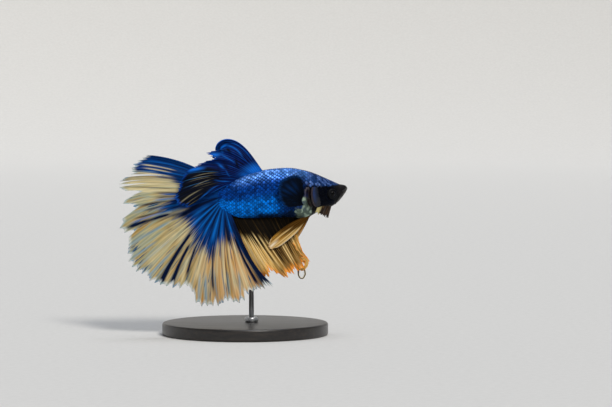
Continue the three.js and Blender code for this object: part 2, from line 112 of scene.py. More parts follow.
def section(x):
    """Back height, belly height, half width and widest level of the body at x."""
    x = np.clip(x, SKIN_END_X, SNOUT_X)
    row = np.interp(-x, -STATIONS[:, 0], np.arange(len(STATIONS)))
    values = cubic(STATIONS, row)
    back, belly, half = values[..., 1], values[..., 2], values[..., 3]
    return back, belly, half, belly + WIDEST_LEVEL * (back - belly)


def body_point(x, angle, grow):
    """A point on the body, grow mm outside the solids. The angle runs from the left flank
    over the back to the right flank and under the belly."""
    back, belly, half, level = section(x)
    side = np.cos(angle)
    rise = np.sin(angle)
    power = 2 / SECTION_POWER
    out = np.sign(side) * np.abs(side) ** power * (half + grow)
    height = np.where(rise > 0, back - level, level - belly) + grow
    up = np.sign(rise) * np.abs(rise) ** power * height
    middle = spine_y(np.maximum(x, TAIL_ROOT_X))
    return np.stack([x + 0 * angle, middle + out, level + up], axis=-1)


def flank_half(x, z):
    """Half of the body's width at a place on its side."""
    back, belly, half, level = section(x)
    height = np.where(z > level, back - level, level - belly)
    share = np.clip(np.abs(z - level) / height, 0, 1)
    return half * (1 - share ** SECTION_POWER) ** (1 / SECTION_POWER)


def smooth(value, low, high):
    """0 below low, 1 above high, with a soft change between them."""
    t = np.clip((value - low) / (high - low), 0, 1)
    return t * t * (3 - 2 * t)


def hill(value, width):
    """1 at 0, falling softly to nothing on both sides."""
    return np.exp(-(value / width) ** 2)


def grid_normals(points):
    """Unit normals of a grid of points."""
    first = np.gradient(points, axis=0)
    second = np.gradient(points, axis=1)
    normal = np.cross(first, second)
    return normal / np.maximum(np.linalg.norm(normal, axis=-1, keepdims=True), 1e-9)


def distance_to_line(x, z, start, end):
    """Distance from places in the side view to a straight stretch, and the share along it."""
    along = np.array(end) - np.array(start)
    share = ((x - start[0]) * along[0] + (z - start[1]) * along[1]) / (along @ along)
    share = np.clip(share, 0, 1)
    return np.hypot(x - start[0] - share * along[0], z - start[1] - share * along[1]), share


# ---------------------------------------------------------------- head landmarks

EYE_X, EYE_Z, EYE_RADIUS = 28.1, 45.8, 1.65
EYE_DEPTH, EYE_BULGE, EYE_TURN = 1.15, 0.1, 0.14
EYE_RINGS, EYE_SIDES = 47, 64
MOUTH_TIP = (33.6, 47.7)
MOUTH_CORNER = (31.4, 46.3)
JAW_FOOT = (29.4, 42.4)
CHIN = np.array([(33.3, 47.0), (31.9, 44.5), (29.7, 42.3), (26.5, 41.2)])
NOSTRIL = (30.9, 48.25)
CHEEK_TOP, CHEEK_FOOT = (25.0, 47.6), (26.2, 42.6)
SHOULDER_X, SHOULDER_Z, SHOULDER_LONG, SHOULDER_HIGH = 16.2, 47.2, 4.0, 4.4
GILL_X, GILL_Z = 20.9, 44.4
GILL_LONG, GILL_HIGH, GILL_LEAN = 1.1, 3.5, -0.13

# Where the head's blue scales give way to smooth dark skin, from the shoulder to the snout.
HEAD_LINE = np.array([(17.9, 47.6), (19.5, 48.2), (23.5, 48.3), (27.0, 47.9), (29.3, 48.6), (30.6, 49.6)])


def gill_ellipse(x, z):
    """1 on the rim of the gill opening, less inside it."""
    along = (z - GILL_Z) / GILL_HIGH
    return np.hypot((x - GILL_X - GILL_LEAN * (z - GILL_Z)) / GILL_LONG, along)


def head_line(x):
    """Height of the line between blue crown and dark face."""
    return np.interp(x, HEAD_LINE[:, 0], HEAD_LINE[:, 1])


def chin_distance(x, z):
    """Distance from the front and lower edge of the jaw."""
    return np.min([distance_to_line(x, z, a, b)[0] for a, b in zip(CHIN, CHIN[1:])], axis=0)


def markings(x, z):
    """Weights of the body's colour zones, shared by the skin and the scales over it.
    The back zone is a painted highlight, and the belly, shoulder, jaw groove and gill
    opening zones hold painted shade, in part or whole.
    """
    back, belly, _, level = section(x)
    rise = (z - level) / (back - level)
    sink = (level - z) / (level - belly)
    head = smooth(x, 19.0, 21.5)
    above_line = smooth(z - head_line(x), -0.3, 0.4)
    gill = gill_ellipse(x, z)
    eye = np.hypot(x - EYE_X, z - EYE_Z) / EYE_RADIUS
    shoulder = np.hypot((x - SHOULDER_X) / SHOULDER_LONG, (z - SHOULDER_Z) / SHOULDER_HIGH)
    front = smooth(x, 18.2, 18.9) * smooth(-z, -45.2, -44.2)
    foot = smooth(x, 16.0, 17.4) * smooth(-z, -41.8, -40.6)
    chest = np.maximum(front, foot) * smooth(-x, -21.9, -21.3)
    ripple = np.sin(2.4 * x + 1.1 * z + 1.5 * np.sin(1.9 * z))
    ripple = ripple + np.sin(1.3 * x - 2.1 * z + 1.2 * np.sin(2.7 * x))
    jaw_line, _ = distance_to_line(x, z, MOUTH_CORNER, JAW_FOOT)
    # Painted shade: the underside is darker towards the chest and under the rear body.
    front_belly_shade = smooth(sink, 0.25, 0.9) * smooth(x, 10.0, 15.5)
    rear_belly_shade = smooth(sink, 0.72, 0.92) * smooth(x, 0.0, 6.0)
    return {
        # Painted highlight: the top of the back is lighter where the light falls on it.
        "back_highlight": smooth(rise, 0.35, 1.0) * smooth(x, -5.5, 1.0),
        "flank_glow": smooth(sink, -0.05, 0.5) * smooth(-x, -14.0, -9.0) * smooth(x, -9.5, -7.5),
        # Partly the fish's own dark skin and partly painted shadow of the pectoral fin over the shoulder.
        "shoulder_dark_and_shade": 1 - smooth(shoulder, 0.75, 1.45),
        "belly_shade": np.maximum(front_belly_shade, rear_belly_shade),
        "head_blue": 1.2 * head * above_line,
        "head_dusk": 1.7 * head * np.maximum(1 - above_line, 1 - smooth(eye, 1.05, 1.4)),
        "snout_grey": 1.4 * smooth(x, 29.4, 31.0) * smooth(z, 45.2, 47.0),
        "chin_pale": (1 - smooth(chin_distance(x, z), 0.45, 1.0)) * smooth(x, 26.5, 29.0),
        # Painted shade: a dark line in the crease between the jaws.
        "jaw_groove_shade": hill(jaw_line, 0.22),
        "breast": 1.1 * chest,
        "breast_fleck": chest * smooth(ripple, -0.1, 1.5),
        # Dark red-brown gill flesh, deepened to near black as painted shade inside the opening.
        "gill_flesh_and_shade": 1 - smooth(gill, 0.72, 1.0),
        "gill_rim": hill(gill - 1.12, 0.2) * smooth(-x, -21.2, -20.2) * smooth(z, 43.6, 45.2),
    }


# ---------------------------------------------------------------- meshes

def make_mesh(name, points, faces, values=None, uv=None):
    """A smooth mesh in metres from points in mm, with named per-point values."""
    mesh = bpy.data.meshes.new(name)
    faces = faces if isinstance(faces, list) else faces.tolist()
    mesh.from_pydata((points * MM).tolist(), [], faces)
    mesh.shade_smooth()
    for label, numbers in (values or {}).items():
        layer = mesh.attributes.new(label, "FLOAT", "POINT")
        layer.data.foreach_set("value", np.asarray(numbers, np.float32).ravel())
    if uv is not None:
        loops = np.zeros(len(mesh.loops), np.int32)
        mesh.loops.foreach_get("vertex_index", loops)
        layer = mesh.uv_layers.new(name="OFBake")
        layer.data.foreach_set("uv", np.asarray(uv, np.float32)[loops].ravel())
    piece = bpy.data.objects.new(name, mesh)
    bpy.context.scene.collection.objects.link(piece)
    return piece


def unit_grid(rows, columns):
    """Two grids that run from 0 to 1, one down the rows and one along the columns."""
    return np.meshgrid(np.linspace(0, 1, rows), np.linspace(0, 1, columns), indexing="ij")


def quads(rows, columns, start=0, wrap=False):
    """Faces of a grid of points, whose columns may close on themselves."""
    index = np.arange(rows * columns).reshape(rows, columns) + start
    if wrap:
        index = np.concatenate([index, index[:, :1]], axis=1)
    return np.stack([index[:-1, :-1], index[1:, :-1], index[1:, 1:], index[:-1, 1:]], -1).reshape(-1, 4)


def sheet_solid(name, centre, thickness, values):
    """A closed thin sheet of the given thickness round a grid of points."""
    rows, columns = centre.shape[:2]
    normal = grid_normals(centre)
    half = (thickness / 2)[..., None] * normal
    points = np.concatenate([(centre + half).reshape(-1, 3), (centre - half).reshape(-1, 3)])
    count = rows * columns
    front = quads(rows, columns)
    back = quads(rows, columns, count)[:, ::-1]
    index = np.arange(count).reshape(rows, columns)
    rim = np.concatenate([index[0, :], index[1:, -1], index[-1, -2::-1], index[-2:0:-1, 0]])
    after = np.roll(rim, -1)
    wall = np.stack([rim, after, after + count, rim + count], -1)
    doubled = {label: np.concatenate([v.ravel(), v.ravel()]) for label, v in values.items()}
    return make_mesh(name, points, np.concatenate([front, back, wall]), doubled)


def capped_rings(rings, sides):
    """Faces of closed rings of points that end in two single points, the last two."""
    faces = quads(rings, sides, wrap=True).tolist()
    first_end = rings * sides
    last_ring = first_end - sides
    for i in range(sides):
        after = (i + 1) % sides
        faces.append([first_end, i, after])
        faces.append([first_end + 1, last_ring + after, last_ring + i])
    return faces


def turned(profile, sides, centre=(0.0, 0.0)):
    """Points of a profile of radius and height pairs, turned about a vertical axis."""
    radius, height = np.array(profile, float).T[..., None]
    angle = np.linspace(0, 2 * math.pi, sides, endpoint=False)
    x = radius * np.cos(angle) + centre[0]
    y = radius * np.sin(angle) + centre[1]
    return np.stack([x, y, height + 0 * angle], -1).reshape(-1, 3)


def make_turned(name, profile, sides, centre=(0.0, 0.0)):
    """A turned piece with a flat end below and above."""
    faces = quads(len(profile), sides, wrap=True)[:, ::-1].tolist()
    faces.append(list(range(sides))[::-1])
    faces.append([(len(profile) - 1) * sides + i for i in range(sides)])
    return make_mesh(name, turned(profile, sides, centre), faces)


def in_mm(box):
    """Low and high corner of a CAD node's box in mm."""
    return [np.array(corner) / MM for corner in box]


def settle(piece, material, slot, *nodes):
    """Gives a piece its material and lets it stand for CAD nodes. The slot is not used."""
    piece.data.materials.append(material)
    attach(piece, "root")
    if nodes:
        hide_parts(*nodes)
    return piece


# ---------------------------------------------------------------- material tools

def colour(hex_value):
    """Linear colour of an sRGB hex value."""
    channels = [int(hex_value[i:i + 2], 16) / 255 for i in (1, 3, 5)]
    linear = [c / 12.92 if c <= 0.04045 else ((c + 0.055) / 1.055) ** 2.4 for c in channels]
    return (*linear, 1.0)


def add_node(tree, kind, sockets=None, stops=None, give=None, **settings):
    """Adds one node and returns the output that it is there for: the one that give names,
    or its Fac, or else its first. Sockets take values, hex colours and other outputs."""
    made = tree.nodes.new("ShaderNode" + kind)
    for name, value in settings.items():
        setattr(made, name, value)
    for name, value in (sockets or {}).items():
        socket = made.inputs[name]
        if isinstance(value, bpy.types.NodeSocket):
            tree.links.new(value, socket)
        else:
            socket.default_value = colour(value) if isinstance(value, str) else value
    if stops:
        ramp = made.color_ramp.elements
        while len(ramp) < len(stops):
            ramp.new(0.5)
        for element, (place, hex_value) in zip(ramp, stops):
            element.position = place
            element.color = colour(hex_value)
    if give or "Fac" in made.outputs:
        return made.outputs[give or "Fac"]
    return made.outputs[0] if made.outputs else None


def new_material(name):
    """A material with an empty node tree, and the function that adds a node to it."""
    material = bpy.data.materials.new(name)
    material.use_nodes = True
    material.node_tree.nodes.clear()
    return material, partial(add_node, material.node_tree)


# ---------------------------------------------------------------- skin and scales

BODY_BLUE = "#023f96"
# The back's lighter blue is a painted highlight. The belly's dark navy and the black line in the jaw
# groove are painted shade; the shoulder's near black and the dark gill flesh are partly the fish's own
# colour and partly painted shade.
ZONE_COLOURS = [
    ("flank_glow", "#027eee"), ("back_highlight", "#4c86d8"), ("belly_shade", "#05203e"),
    ("shoulder_dark_and_shade", "#010a1a"), ("head_blue", "#1a4180"), ("head_dusk", "#020409"),
    ("snout_grey", "#121014"), ("chin_pale", "#444340"), ("jaw_groove_shade", "#050505"),
    ("breast", "#4a5850"), ("breast_fleck", "#98ad9a"), ("gill_rim", "#5c565c"),
    ("gill_flesh_and_shade", "#120809"),
]


def body_colour(add):
    """The colour of the live fish by zone, with borders broken up by a 1.5 mm mottling.
    The lighter back is a painted highlight, the darker belly and jaw groove are painted
    shade, and the shoulder and gill opening are partly their own dark colour and partly
    painted shade.
    """
    place = add("TexCoord", give="Object")
    mottle = add("TexNoise", {
        "Vector": place, "Scale": 1 / (1.5 * MM), "Detail": 3.0, "Roughness": 0.6,
    })
    swing = add("MapRange", {
        "Value": mottle, "From Min": 0.3, "From Max": 0.7, "To Min": 0.6, "To Max": 1.25,
    })
    paint = BODY_BLUE
    for zone, hex_value in ZONE_COLOURS:
        weight = add("Attribute", attribute_name=zone)
        uneven = add("Math", {0: weight, 1: swing}, operation="MULTIPLY", use_clamp=True)
        paint = add("MixRGB", {"Fac": uneven, "Color1": paint, "Color2": hex_value})
    return paint, place


def skin_material():
    """Living fish skin, smooth under a thin slime: a soft low gloss, broken up by pores of
    about 0.3 mm and folds of about 0.9 mm."""
    material, add = new_material("wet_fish_skin")
    paint, place = body_colour(add)
    pores = add("TexVoronoi", {"Vector": place, "Scale": 1 / (0.32 * MM)})
    folds = add("TexNoise", {"Vector": place, "Scale": 1 / (0.9 * MM), "Detail": 5.0})
    relief = add("Math", {0: pores, 1: folds}, operation="ADD")
    bump = add("Bump", {"Height": relief, "Strength": 0.5, "Distance": 0.06 * MM})
    gloss = add("MapRange", {"Value": folds, "To Min": 0.32, "To Max": 0.5})
    grain = add("MapRange", {"Value": pores, "From Max": 0.6, "To Min": 0.75, "To Max": 1.15})
    shade = add("MixRGB", {"Fac": 1.0, "Color1": paint, "Color2": grain}, blend_type="MULTIPLY")
    shader = add("BsdfPrincipled", {
        "Base Color": shade, "Roughness": gloss, "Normal": bump, "Specular IOR Level": 0.13,
    })
    add("OutputMaterial", {"Surface": shader})
    return material


def scale_material():
    """Iridescent cycloid scales: guanine crystals give the blue a metallic sheen, each
    scale is brightest in the middle of its bare part and navy along its rim. Scales of
    the back and crown also take random lavender glints, a painted highlight."""
    material, add = new_material("iridescent_scale")
    paint, place = body_colour(add)
    face, tone, back, crown = (add("Attribute", attribute_name=label)
                               for label in ("scale_face", "scale_tone", "back_highlight", "head_blue"))
    lit = add("MapRange", {"Value": tone, "To Min": 0.45, "To Max": 1.6})
    toned = add("MixRGB", {"Fac": 1.0, "Color1": paint, "Color2": lit}, blend_type="MULTIPLY")
    # Painted highlight: random lavender glints on the scales of the back and crown.
    upper = add("Math", {0: back, 1: crown}, operation="MAXIMUM")
    chance = add("MapRange", {"Value": tone, "From Min": 0.4, "From Max": 1.0, "To Max": 0.4})
    painted_glint = add("Math", {0: upper, 1: chance}, operation="MULTIPLY")
    bright = add("MixRGB", {"Fac": painted_glint, "Color1": toned, "Color2": "#84a8f2"})
    rim = add("MixRGB", {"Fac": 0.6, "Color1": bright, "Color2": "#01081e"})
    colour_mix = add("MixRGB", {"Fac": face, "Color1": rim, "Color2": bright})
    ridges = add("TexNoise", {"Vector": place, "Scale": 1 / (0.22 * MM), "Detail": 2.0})
    bump = add("Bump", {"Height": ridges, "Strength": 0.35, "Distance": 0.03 * MM})
    gloss = add("MapRange", {"Value": face, "To Min": 0.55, "To Max": 0.36})
    shader = add("BsdfPrincipled", {
        "Base Color": colour_mix, "Roughness": gloss, "Normal": bump, "Metallic": 0.6,
        "Specular IOR Level": 0.1,
    })
    add("OutputMaterial", {"Surface": shader})
    return material


SKIN_RINGS = 300
SKIN_SIDES = 200


def head_relief(x, z):
    """How far the head's features stand out of the plain body shape, in mm."""
    eye = np.hypot(x - EYE_X, z - EYE_Z) / EYE_RADIUS
    lips, _ = distance_to_line(x, z, MOUTH_CORNER, MOUTH_TIP)
    jaw, _ = distance_to_line(x, z, MOUTH_CORNER, JAW_FOOT)
    nostril = np.hypot(x - NOSTRIL[0], z - NOSTRIL[1])
    gill = gill_ellipse(x, z)
    cheek, _ = distance_to_line(x, z, CHEEK_TOP, CHEEK_FOOT)
    socket = -0.8 * (1 - smooth(eye, 0.84, 0.97)) + 0.05 * hill(eye - 1.04, 0.07)
    mouth = -0.42 * hill(lips, 0.1) + 0.14 * hill(lips - 0.34, 0.16)
    fold = -0.16 * hill(jaw, 0.2) + 0.05 * hill(jaw - 0.4, 0.25)
    arches = 0.14 * np.sin(9.0 * (x - GILL_X) + 1.2 * (z - GILL_Z))
    opening = -0.95 * (1 - smooth(gill, 0.7, 1.05)) + 0.2 * hill(gill - 1.2, 0.16)
    opening = opening + arches * (1 - smooth(gill, 0.55, 0.85))
    crease = -0.1 * hill(cheek, 0.2)
    pit = -0.22 * hill(nostril, 0.16) + 0.05 * hill(nostril - 0.3, 0.1)
    return (socket + mouth + fold + opening + crease + pit) * smooth(-x, -SNOUT_X, 0.7 - SNOUT_X)


def make_skin():
    """One skin over head, jaw, trunk and tail stalk."""
    turn = np.linspace(0, math.pi, SKIN_RINGS + 1)[1:-1]
    middle = (SNOUT_X + SKIN_END_X) / 2
    reach = (SNOUT_X - SKIN_END_X) / 2
    along = middle + reach * np.cos(turn)
    angle = np.linspace(0, 2 * math.pi, SKIN_SIDES, endpoint=False)
    x, angle = np.meshgrid(along, angle, indexing="ij")
    points = body_point(x, angle, -COAT_DEPTH)
    wrapped = np.concatenate([points[:, -1:], points, points[:, :1]], axis=1)
    normal = -grid_normals(wrapped)[:, 1:-1]
    points = points + normal * head_relief(points[..., 0], points[..., 2])[..., None]
    ends = np.array([body_point(np.array(e), np.array(math.pi / 2), 0) for e in (SNOUT_X, SKIN_END_X)])
    for end in ends:
        end[2] = section(end[0])[3]
    ends[0, 0] -= COAT_DEPTH
    points = np.concatenate([points.reshape(-1, 3), ends])
    zones = markings(points[:, 0], points[:, 2])
    return make_mesh("skin", points, capped_rings(len(along), SKIN_SIDES), zones)


# Scales lie in a diamond lattice: close columns, every other one shifted by half a row.
SCALE_PITCH = 0.69
SCALE_ROW_PITCH = 1.24
SCALE_LENGTH = 1.75
SCALE_WIDTH = 1.42
SCALE_GRID = 9
SCALE_ROOT_LIFT = 0.02
SCALE_RISE = 0.15
SCALE_DOME = 0.07
SCALE_SKIRT = 0.06
SCALE_BLUNT = 0.03
SCALE_PATCH = 0.003
FIRST_SCALE_X = 31.4
LAST_SCALE_X = -9.2


def scale_size(x):
    """Scales shrink towards the snout and towards the tail."""
    return (0.55 + 0.45 * smooth(-x, -29.0, -19.0)) * (0.6 + 0.4 * smooth(x, -9.5, 0.0))


def scale_roots(side):
    """Roots of one flank's scales in staggered columns: x, angle and height."""
    roots = []
    fine = np.linspace(-math.pi / 2, math.pi / 2, 721)
    x = FIRST_SCALE_X
    column = 0
    while x > LAST_SCALE_X:
        x -= SCALE_PITCH * scale_size(x)
        column += 1
        angles = fine if side == LEFT else math.pi - fine
        ring = body_point(np.full_like(fine, x), angles, 0)
        steps = np.linalg.norm(np.diff(ring, axis=0), axis=1)
        arc = np.concatenate([[0], np.cumsum(steps)])
        first = 0.5 if column % 2 else 0.0
        rows = max(int(arc[-1] / (SCALE_ROW_PITCH * scale_size(x))), 3)
        pitch = arc[-1] / rows
        places = (np.arange(rows + 1) + first) * pitch
        for place in places[places < arc[-1] - 0.2]:
            angle = np.interp(arc[-1] - place, arc, angles)
            here = body_point(np.array(x), np.array(angle), 0)
            roots.append((x, angle, here[2]))
    return np.array(roots)


def bare_of_scales(x, z):
    """Where the eyes, snout, jaw, gill opening, breast and tail fin show no scales."""
    eye = np.hypot(x - EYE_X, z - EYE_Z) / EYE_RADIUS
    in_mouth = (x > 28.6) & (z < head_line(x) - 0.2)
    chest = (x > 17.6) & (x < 22.6) & (z < 45.2)
    throat = (x > 21.0) & (z < 42.2)
    past_tail = x < TAIL_ROOT_X - 1.2 + 0.05 * (z - 44.6) ** 2
    gill = np.abs(x - GILL_X - GILL_LEAN * (z - GILL_Z)) < 1.9
    gill = (gill & (z < 47.6)) | (gill_ellipse(x, z) < 1.2)
    return in_mouth | chest | throat | past_tail | gill | (eye < 1.2) | (x > 30.9)


def make_scales(word, side):
    """One flank's scales as one mesh of small overlapping domed plates."""
    roots = [r for r in scale_roots(side) if not bare_of_scales(r[0] - 0.9, r[2])]
    p, q = np.meshgrid(np.linspace(0, 1, SCALE_GRID), np.linspace(-1, 1, SCALE_GRID), indexing="ij")
    skirt = np.zeros((SCALE_GRID, SCALE_GRID), bool)
    skirt[-1, :] = skirt[:, 0] = skirt[:, -1] = True
    inner = (SCALE_GRID - 2) / (SCALE_GRID - 1)
    p_flat = np.minimum(p / inner, 1.0)
    q_flat = np.clip(q * (SCALE_GRID - 1) / (SCALE_GRID - 3), -1, 1)
    rounding = np.sqrt(np.maximum(1 - np.clip((p_flat - 0.4) / 0.6, 0, 1) ** 2.4, SCALE_BLUNT))
    width = q_flat * rounding
    lift = SCALE_ROOT_LIFT + SCALE_RISE * p_flat - SCALE_DOME * q_flat ** 2
    lift = np.where(skirt, -SCALE_SKIRT, lift)
    bare = smooth(p_flat, 0.38, 0.62) * (1 - smooth(p_flat, 0.8, 0.97))
    face = bare * (1 - smooth(np.abs(q_flat), 0.5, 0.95))
    # The skirt's two tip corners fold to a point, so their faces are left out.
    faces = quads(SCALE_GRID, SCALE_GRID)
    faces = np.delete(faces, [(SCALE_GRID - 2) * (SCALE_GRID - 1), -1], axis=0)
    if side == RIGHT:
        faces = faces[:, ::-1]
    count = SCALE_GRID * SCALE_GRID
    all_points, all_faces, all_uv = [], [], []
    tones, shines, zones = [], [], []
    for number, (x, angle, z) in enumerate(roots):
        size = scale_size(x)
        here = body_point(np.array([x, x]), np.array([angle, angle + 0.01]), 0)
        per_angle = np.linalg.norm(here[1] - here[0]) / 0.01
        spread = SCALE_WIDTH / 2 * size / max(per_angle, 1.0)
        px = x - p_flat * SCALE_LENGTH * size
        pa = angle + side * width * spread
        base = body_point(np.maximum(px, SKIN_END_X), pa, 0.0)
        normal = np.stack([0 * px, np.cos(pa) * 1.7, np.sin(pa)], -1)
        normal /= np.linalg.norm(normal, axis=-1, keepdims=True)
        base = base + normal * (lift - COAT_DEPTH)[..., None]
        all_points.append(base.reshape(-1, 3))
        all_faces.append(faces + number * count)
        u = (x - TAIL_ROOT_X) / (SNOUT_X - TAIL_ROOT_X)
        v = (angle + math.pi / 2) / (2 * math.pi)
        all_uv.append(np.stack([u + (p - 0.5) * SCALE_PATCH, v + q * SCALE_PATCH / 2], -1).reshape(-1, 2))
        tones.append(np.full(count, random_source.random()))
        soft = 0.75 * markings(np.array(x - 1.1), z)["breast"]
        shines.append(np.maximum(face.ravel(), soft))
        zones.append((x - 1.1, z))
    points = np.concatenate(all_points)
    spots = np.repeat(np.array(zones), count, axis=0)
    values = markings(spots[:, 0], spots[:, 1])
    values["scale_tone"] = np.concatenate(tones)
    values["scale_face"] = np.concatenate(shines)
    return make_mesh(f"scales_{word}", points, np.concatenate(all_faces), values, np.concatenate(all_uv))


# ---------------------------------------------------------------- eyes

def eye_material():
    """A wet fish eye: a black pupil in a thin dark iris with a faint blue-bronze ring, all
    with the sharp gloss of a wet cornea."""
    material, add = new_material("wet_eye")
    ring = add("Attribute", attribute_name="iris_radius")
    place = add("TexCoord", give="Object")
    flecks = add("TexNoise", {"Vector": place, "Scale": 1 / (0.15 * MM), "Detail": 4.0})
    wobble = add("Math", {0: flecks, 1: 0.12}, operation="MULTIPLY")
    radius = add("Math", {0: ring, 1: wobble}, operation="ADD")
    iris = add("ValToRGB", {"Fac": radius}, stops=[
        (0.0, "#010102"), (0.5, "#020203"), (0.55, "#2e2a22"), (0.6, "#121a2c"), (0.82, "#080d1a"),
        (0.96, "#020304"),
    ])
    shader = add("BsdfPrincipled", {
        "Base Color": iris, "Roughness": 0.08, "IOR": 1.34, "Specular IOR Level": 0.22,
    })
    add("OutputMaterial", {"Surface": shader})
    return material


def make_eye(word, side):
    """A flattened ball whose cornea bulges over the pupil, where the CAD eye is."""
    centre = sum(in_mm(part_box(f"eye_{word}"))) / 2
    turn, spin = np.meshgrid(np.linspace(0, math.pi, EYE_RINGS + 2)[1:-1],
                             np.linspace(0, 2 * math.pi, EYE_SIDES, endpoint=False), indexing="ij")
    out = np.cos(turn)
    disc = np.sin(turn)
    cornea = EYE_BULGE * hill(disc, 0.45) * (out > 0)
    yaw = math.atan(SPINE_YAW) - side * EYE_TURN
    local = np.stack([
        EYE_RADIUS * disc * np.cos(spin), side * EYE_DEPTH * (out + cornea),
        EYE_RADIUS * disc * np.sin(spin),
    ], -1)
    poles = np.array([[0, side * EYE_DEPTH * (1 + EYE_BULGE), 0], [0, -side * EYE_DEPTH, 0]])
    local = np.concatenate([local.reshape(-1, 3), poles])
    placed = local.copy()
    placed[:, 0] = local[:, 0] * math.cos(yaw) - local[:, 1] * math.sin(yaw)
    placed[:, 1] = local[:, 0] * math.sin(yaw) + local[:, 1] * math.cos(yaw)
    faces = capped_rings(*turn.shape)
    if side == LEFT:
        faces = [face[::-1] for face in faces]
    radius = np.concatenate([np.where(out > 0, disc, 1.0).ravel(), [0, 1]])
    return make_mesh(f"eye_{word}_ball", placed + centre, faces, {"iris_radius": radius})


# ---------------------------------------------------------------- gill covers and throat

GILL_COVER = {
    "hinge_top": (23.7, 48.1), "hinge_foot": (25.2, 41.7), "edge_top": (21.2, 48.1),
    "edge_foot": (21.9, 41.6), "corner_cut": 0.3, "flare": 2.3, "sunk": 0.5, "grid": (49, 65),
}


def make_gill_cover(word, side):
    """A thin plate flared from its hinge on the cheek, with a rolled free edge."""
    cover = GILL_COVER
    share, down = unit_grid(*cover["grid"])
    rounded = share * (1 - cover["corner_cut"] * np.abs(2 * down - 1) ** 3)
    hinge = np.stack([np.interp(down, [0, 1], [cover["hinge_top"][i], cover["hinge_foot"][i]])
                      for i in (0, 1)], -1)
    edge = np.stack([np.interp(down, [0, 1], [cover["edge_top"][i], cover["edge_foot"][i]])
                     for i in (0, 1)], -1)
    place = hinge + (edge - hinge) * rounded[..., None]
    out = flank_half(hinge[..., 0], hinge[..., 1]) - cover["sunk"] - 0.1
    out = out + (cover["flare"] + cover["sunk"]) * rounded ** 0.9
    out = out + 0.05 * np.sin(11 * down + 2 * share)
    centre = np.stack([place[..., 0], spine_y(place[..., 0]) + side * out, place[..., 1]], -1)
    if side == LEFT:
        centre = centre[:, ::-1]
        down = down[:, ::-1]
    thickness = 0.24 + 0.22 * hill(share - 0.97, 0.06) + 0.15 * (1 - smooth(share, 0, 0.3))
    rim = smooth(share, 0.84, 0.95)
    values = {"rim": rim, "share": share, "down": down}
    return sheet_solid(f"gill_plate_{word}", centre, thickness, values)


def gill_cover_material():
    """Gill cover skin: thin bone under smooth wet skin, slate blue on its face, with a
    paler fleshy rim that shows a little blood."""
    material, add = new_material("gill_cover_skin")
    rim, share, down = (add("Attribute", attribute_name=label) for label in ("rim", "share", "down"))
    place = add("TexCoord", give="Object")
    mottle = add("TexNoise", {"Vector": place, "Scale": 1 / (1.1 * MM), "Detail": 4.0})
    face = add("ValToRGB", {"Fac": share}, stops=[
        (0.0, "#02040a"), (0.3, "#0b1322"), (0.5, "#10203e"), (0.72, "#1c3263"), (0.85, "#131b34"),
        (1.0, "#1e191d"),
    ])
    lower = add("MapRange", {"Value": down, "From Min": 0.45, "From Max": 0.85, "To Max": 0.85})
    shaded = add("MixRGB", {"Fac": lower, "Color1": face, "Color2": "#060d16"})
    edged = add("MixRGB", {"Fac": rim, "Color1": shaded, "Color2": "#352c33"})
    varied = add("MixRGB", {"Fac": 0.35, "Color1": edged, "Color2": mottle}, blend_type="OVERLAY")
    bump = add("Bump", {"Height": mottle, "Strength": 0.4, "Distance": 0.05 * MM})
    shader = add("BsdfPrincipled", {
        "Base Color": varied, "Roughness": 0.42, "Normal": bump, "Specular IOR Level": 0.25,
    })
    add("OutputMaterial", {"Surface": shader})
    return material


MEMBRANE_ROOT_X, MEMBRANE_ROOT_Z = 28.0, 41.4
MEMBRANE_SWEEP, MEMBRANE_DROP, MEMBRANE_SPREAD, MEMBRANE_BACK = 4.2, 3.3, 3.5, 1.1
MEMBRANE_RAYS, MEMBRANE_TURN, MEMBRANE_GRID = 16, 80, (241, 37)


def make_throat_membrane():
    """The gill membrane: a frill on curved rays round the throat, with a ragged free edge."""
    across, down = unit_grid(*MEMBRANE_GRID)
    turn = 2 * across - 1
    ray = across * MEMBRANE_RAYS
    ragged = 1 - 0.16 * np.abs(np.sin(math.pi * ray)) ** 0.7 - 0.1 * np.abs(np.sin(2.3 * ray + 1))
    fall = down * ragged
    outward = np.sin(turn * math.radians(MEMBRANE_TURN))
    x = MEMBRANE_ROOT_X - MEMBRANE_SWEEP * turn ** 2 - MEMBRANE_BACK * fall
    root = MEMBRANE_ROOT_Z - 0.6 + 0.7 * turn ** 2
    ripple = (0.25 * np.sin(turn * 14) + 0.18 * np.sin(turn * 37)) * fall
    z = root + 0.8 - (MEMBRANE_DROP + 0.8) * fall * (1 - 0.3 * turn ** 2) + ripple
    y = spine_y(x) + outward * (MEMBRANE_SPREAD - 1.3 + 1.4 * fall + 0.25 * np.sin(turn * 29) * fall)
    centre = np.stack([x, y, z], -1)
    rib = np.abs(np.cos(math.pi * ray)) ** 8
    thickness = 0.1 + 0.14 * rib * (1 - 0.6 * down)
    values = {"down": down, "ray": ray / MEMBRANE_RAYS, "side_edge": np.abs(turn)}
    return sheet_solid("throat_frill", centre, thickness, values)


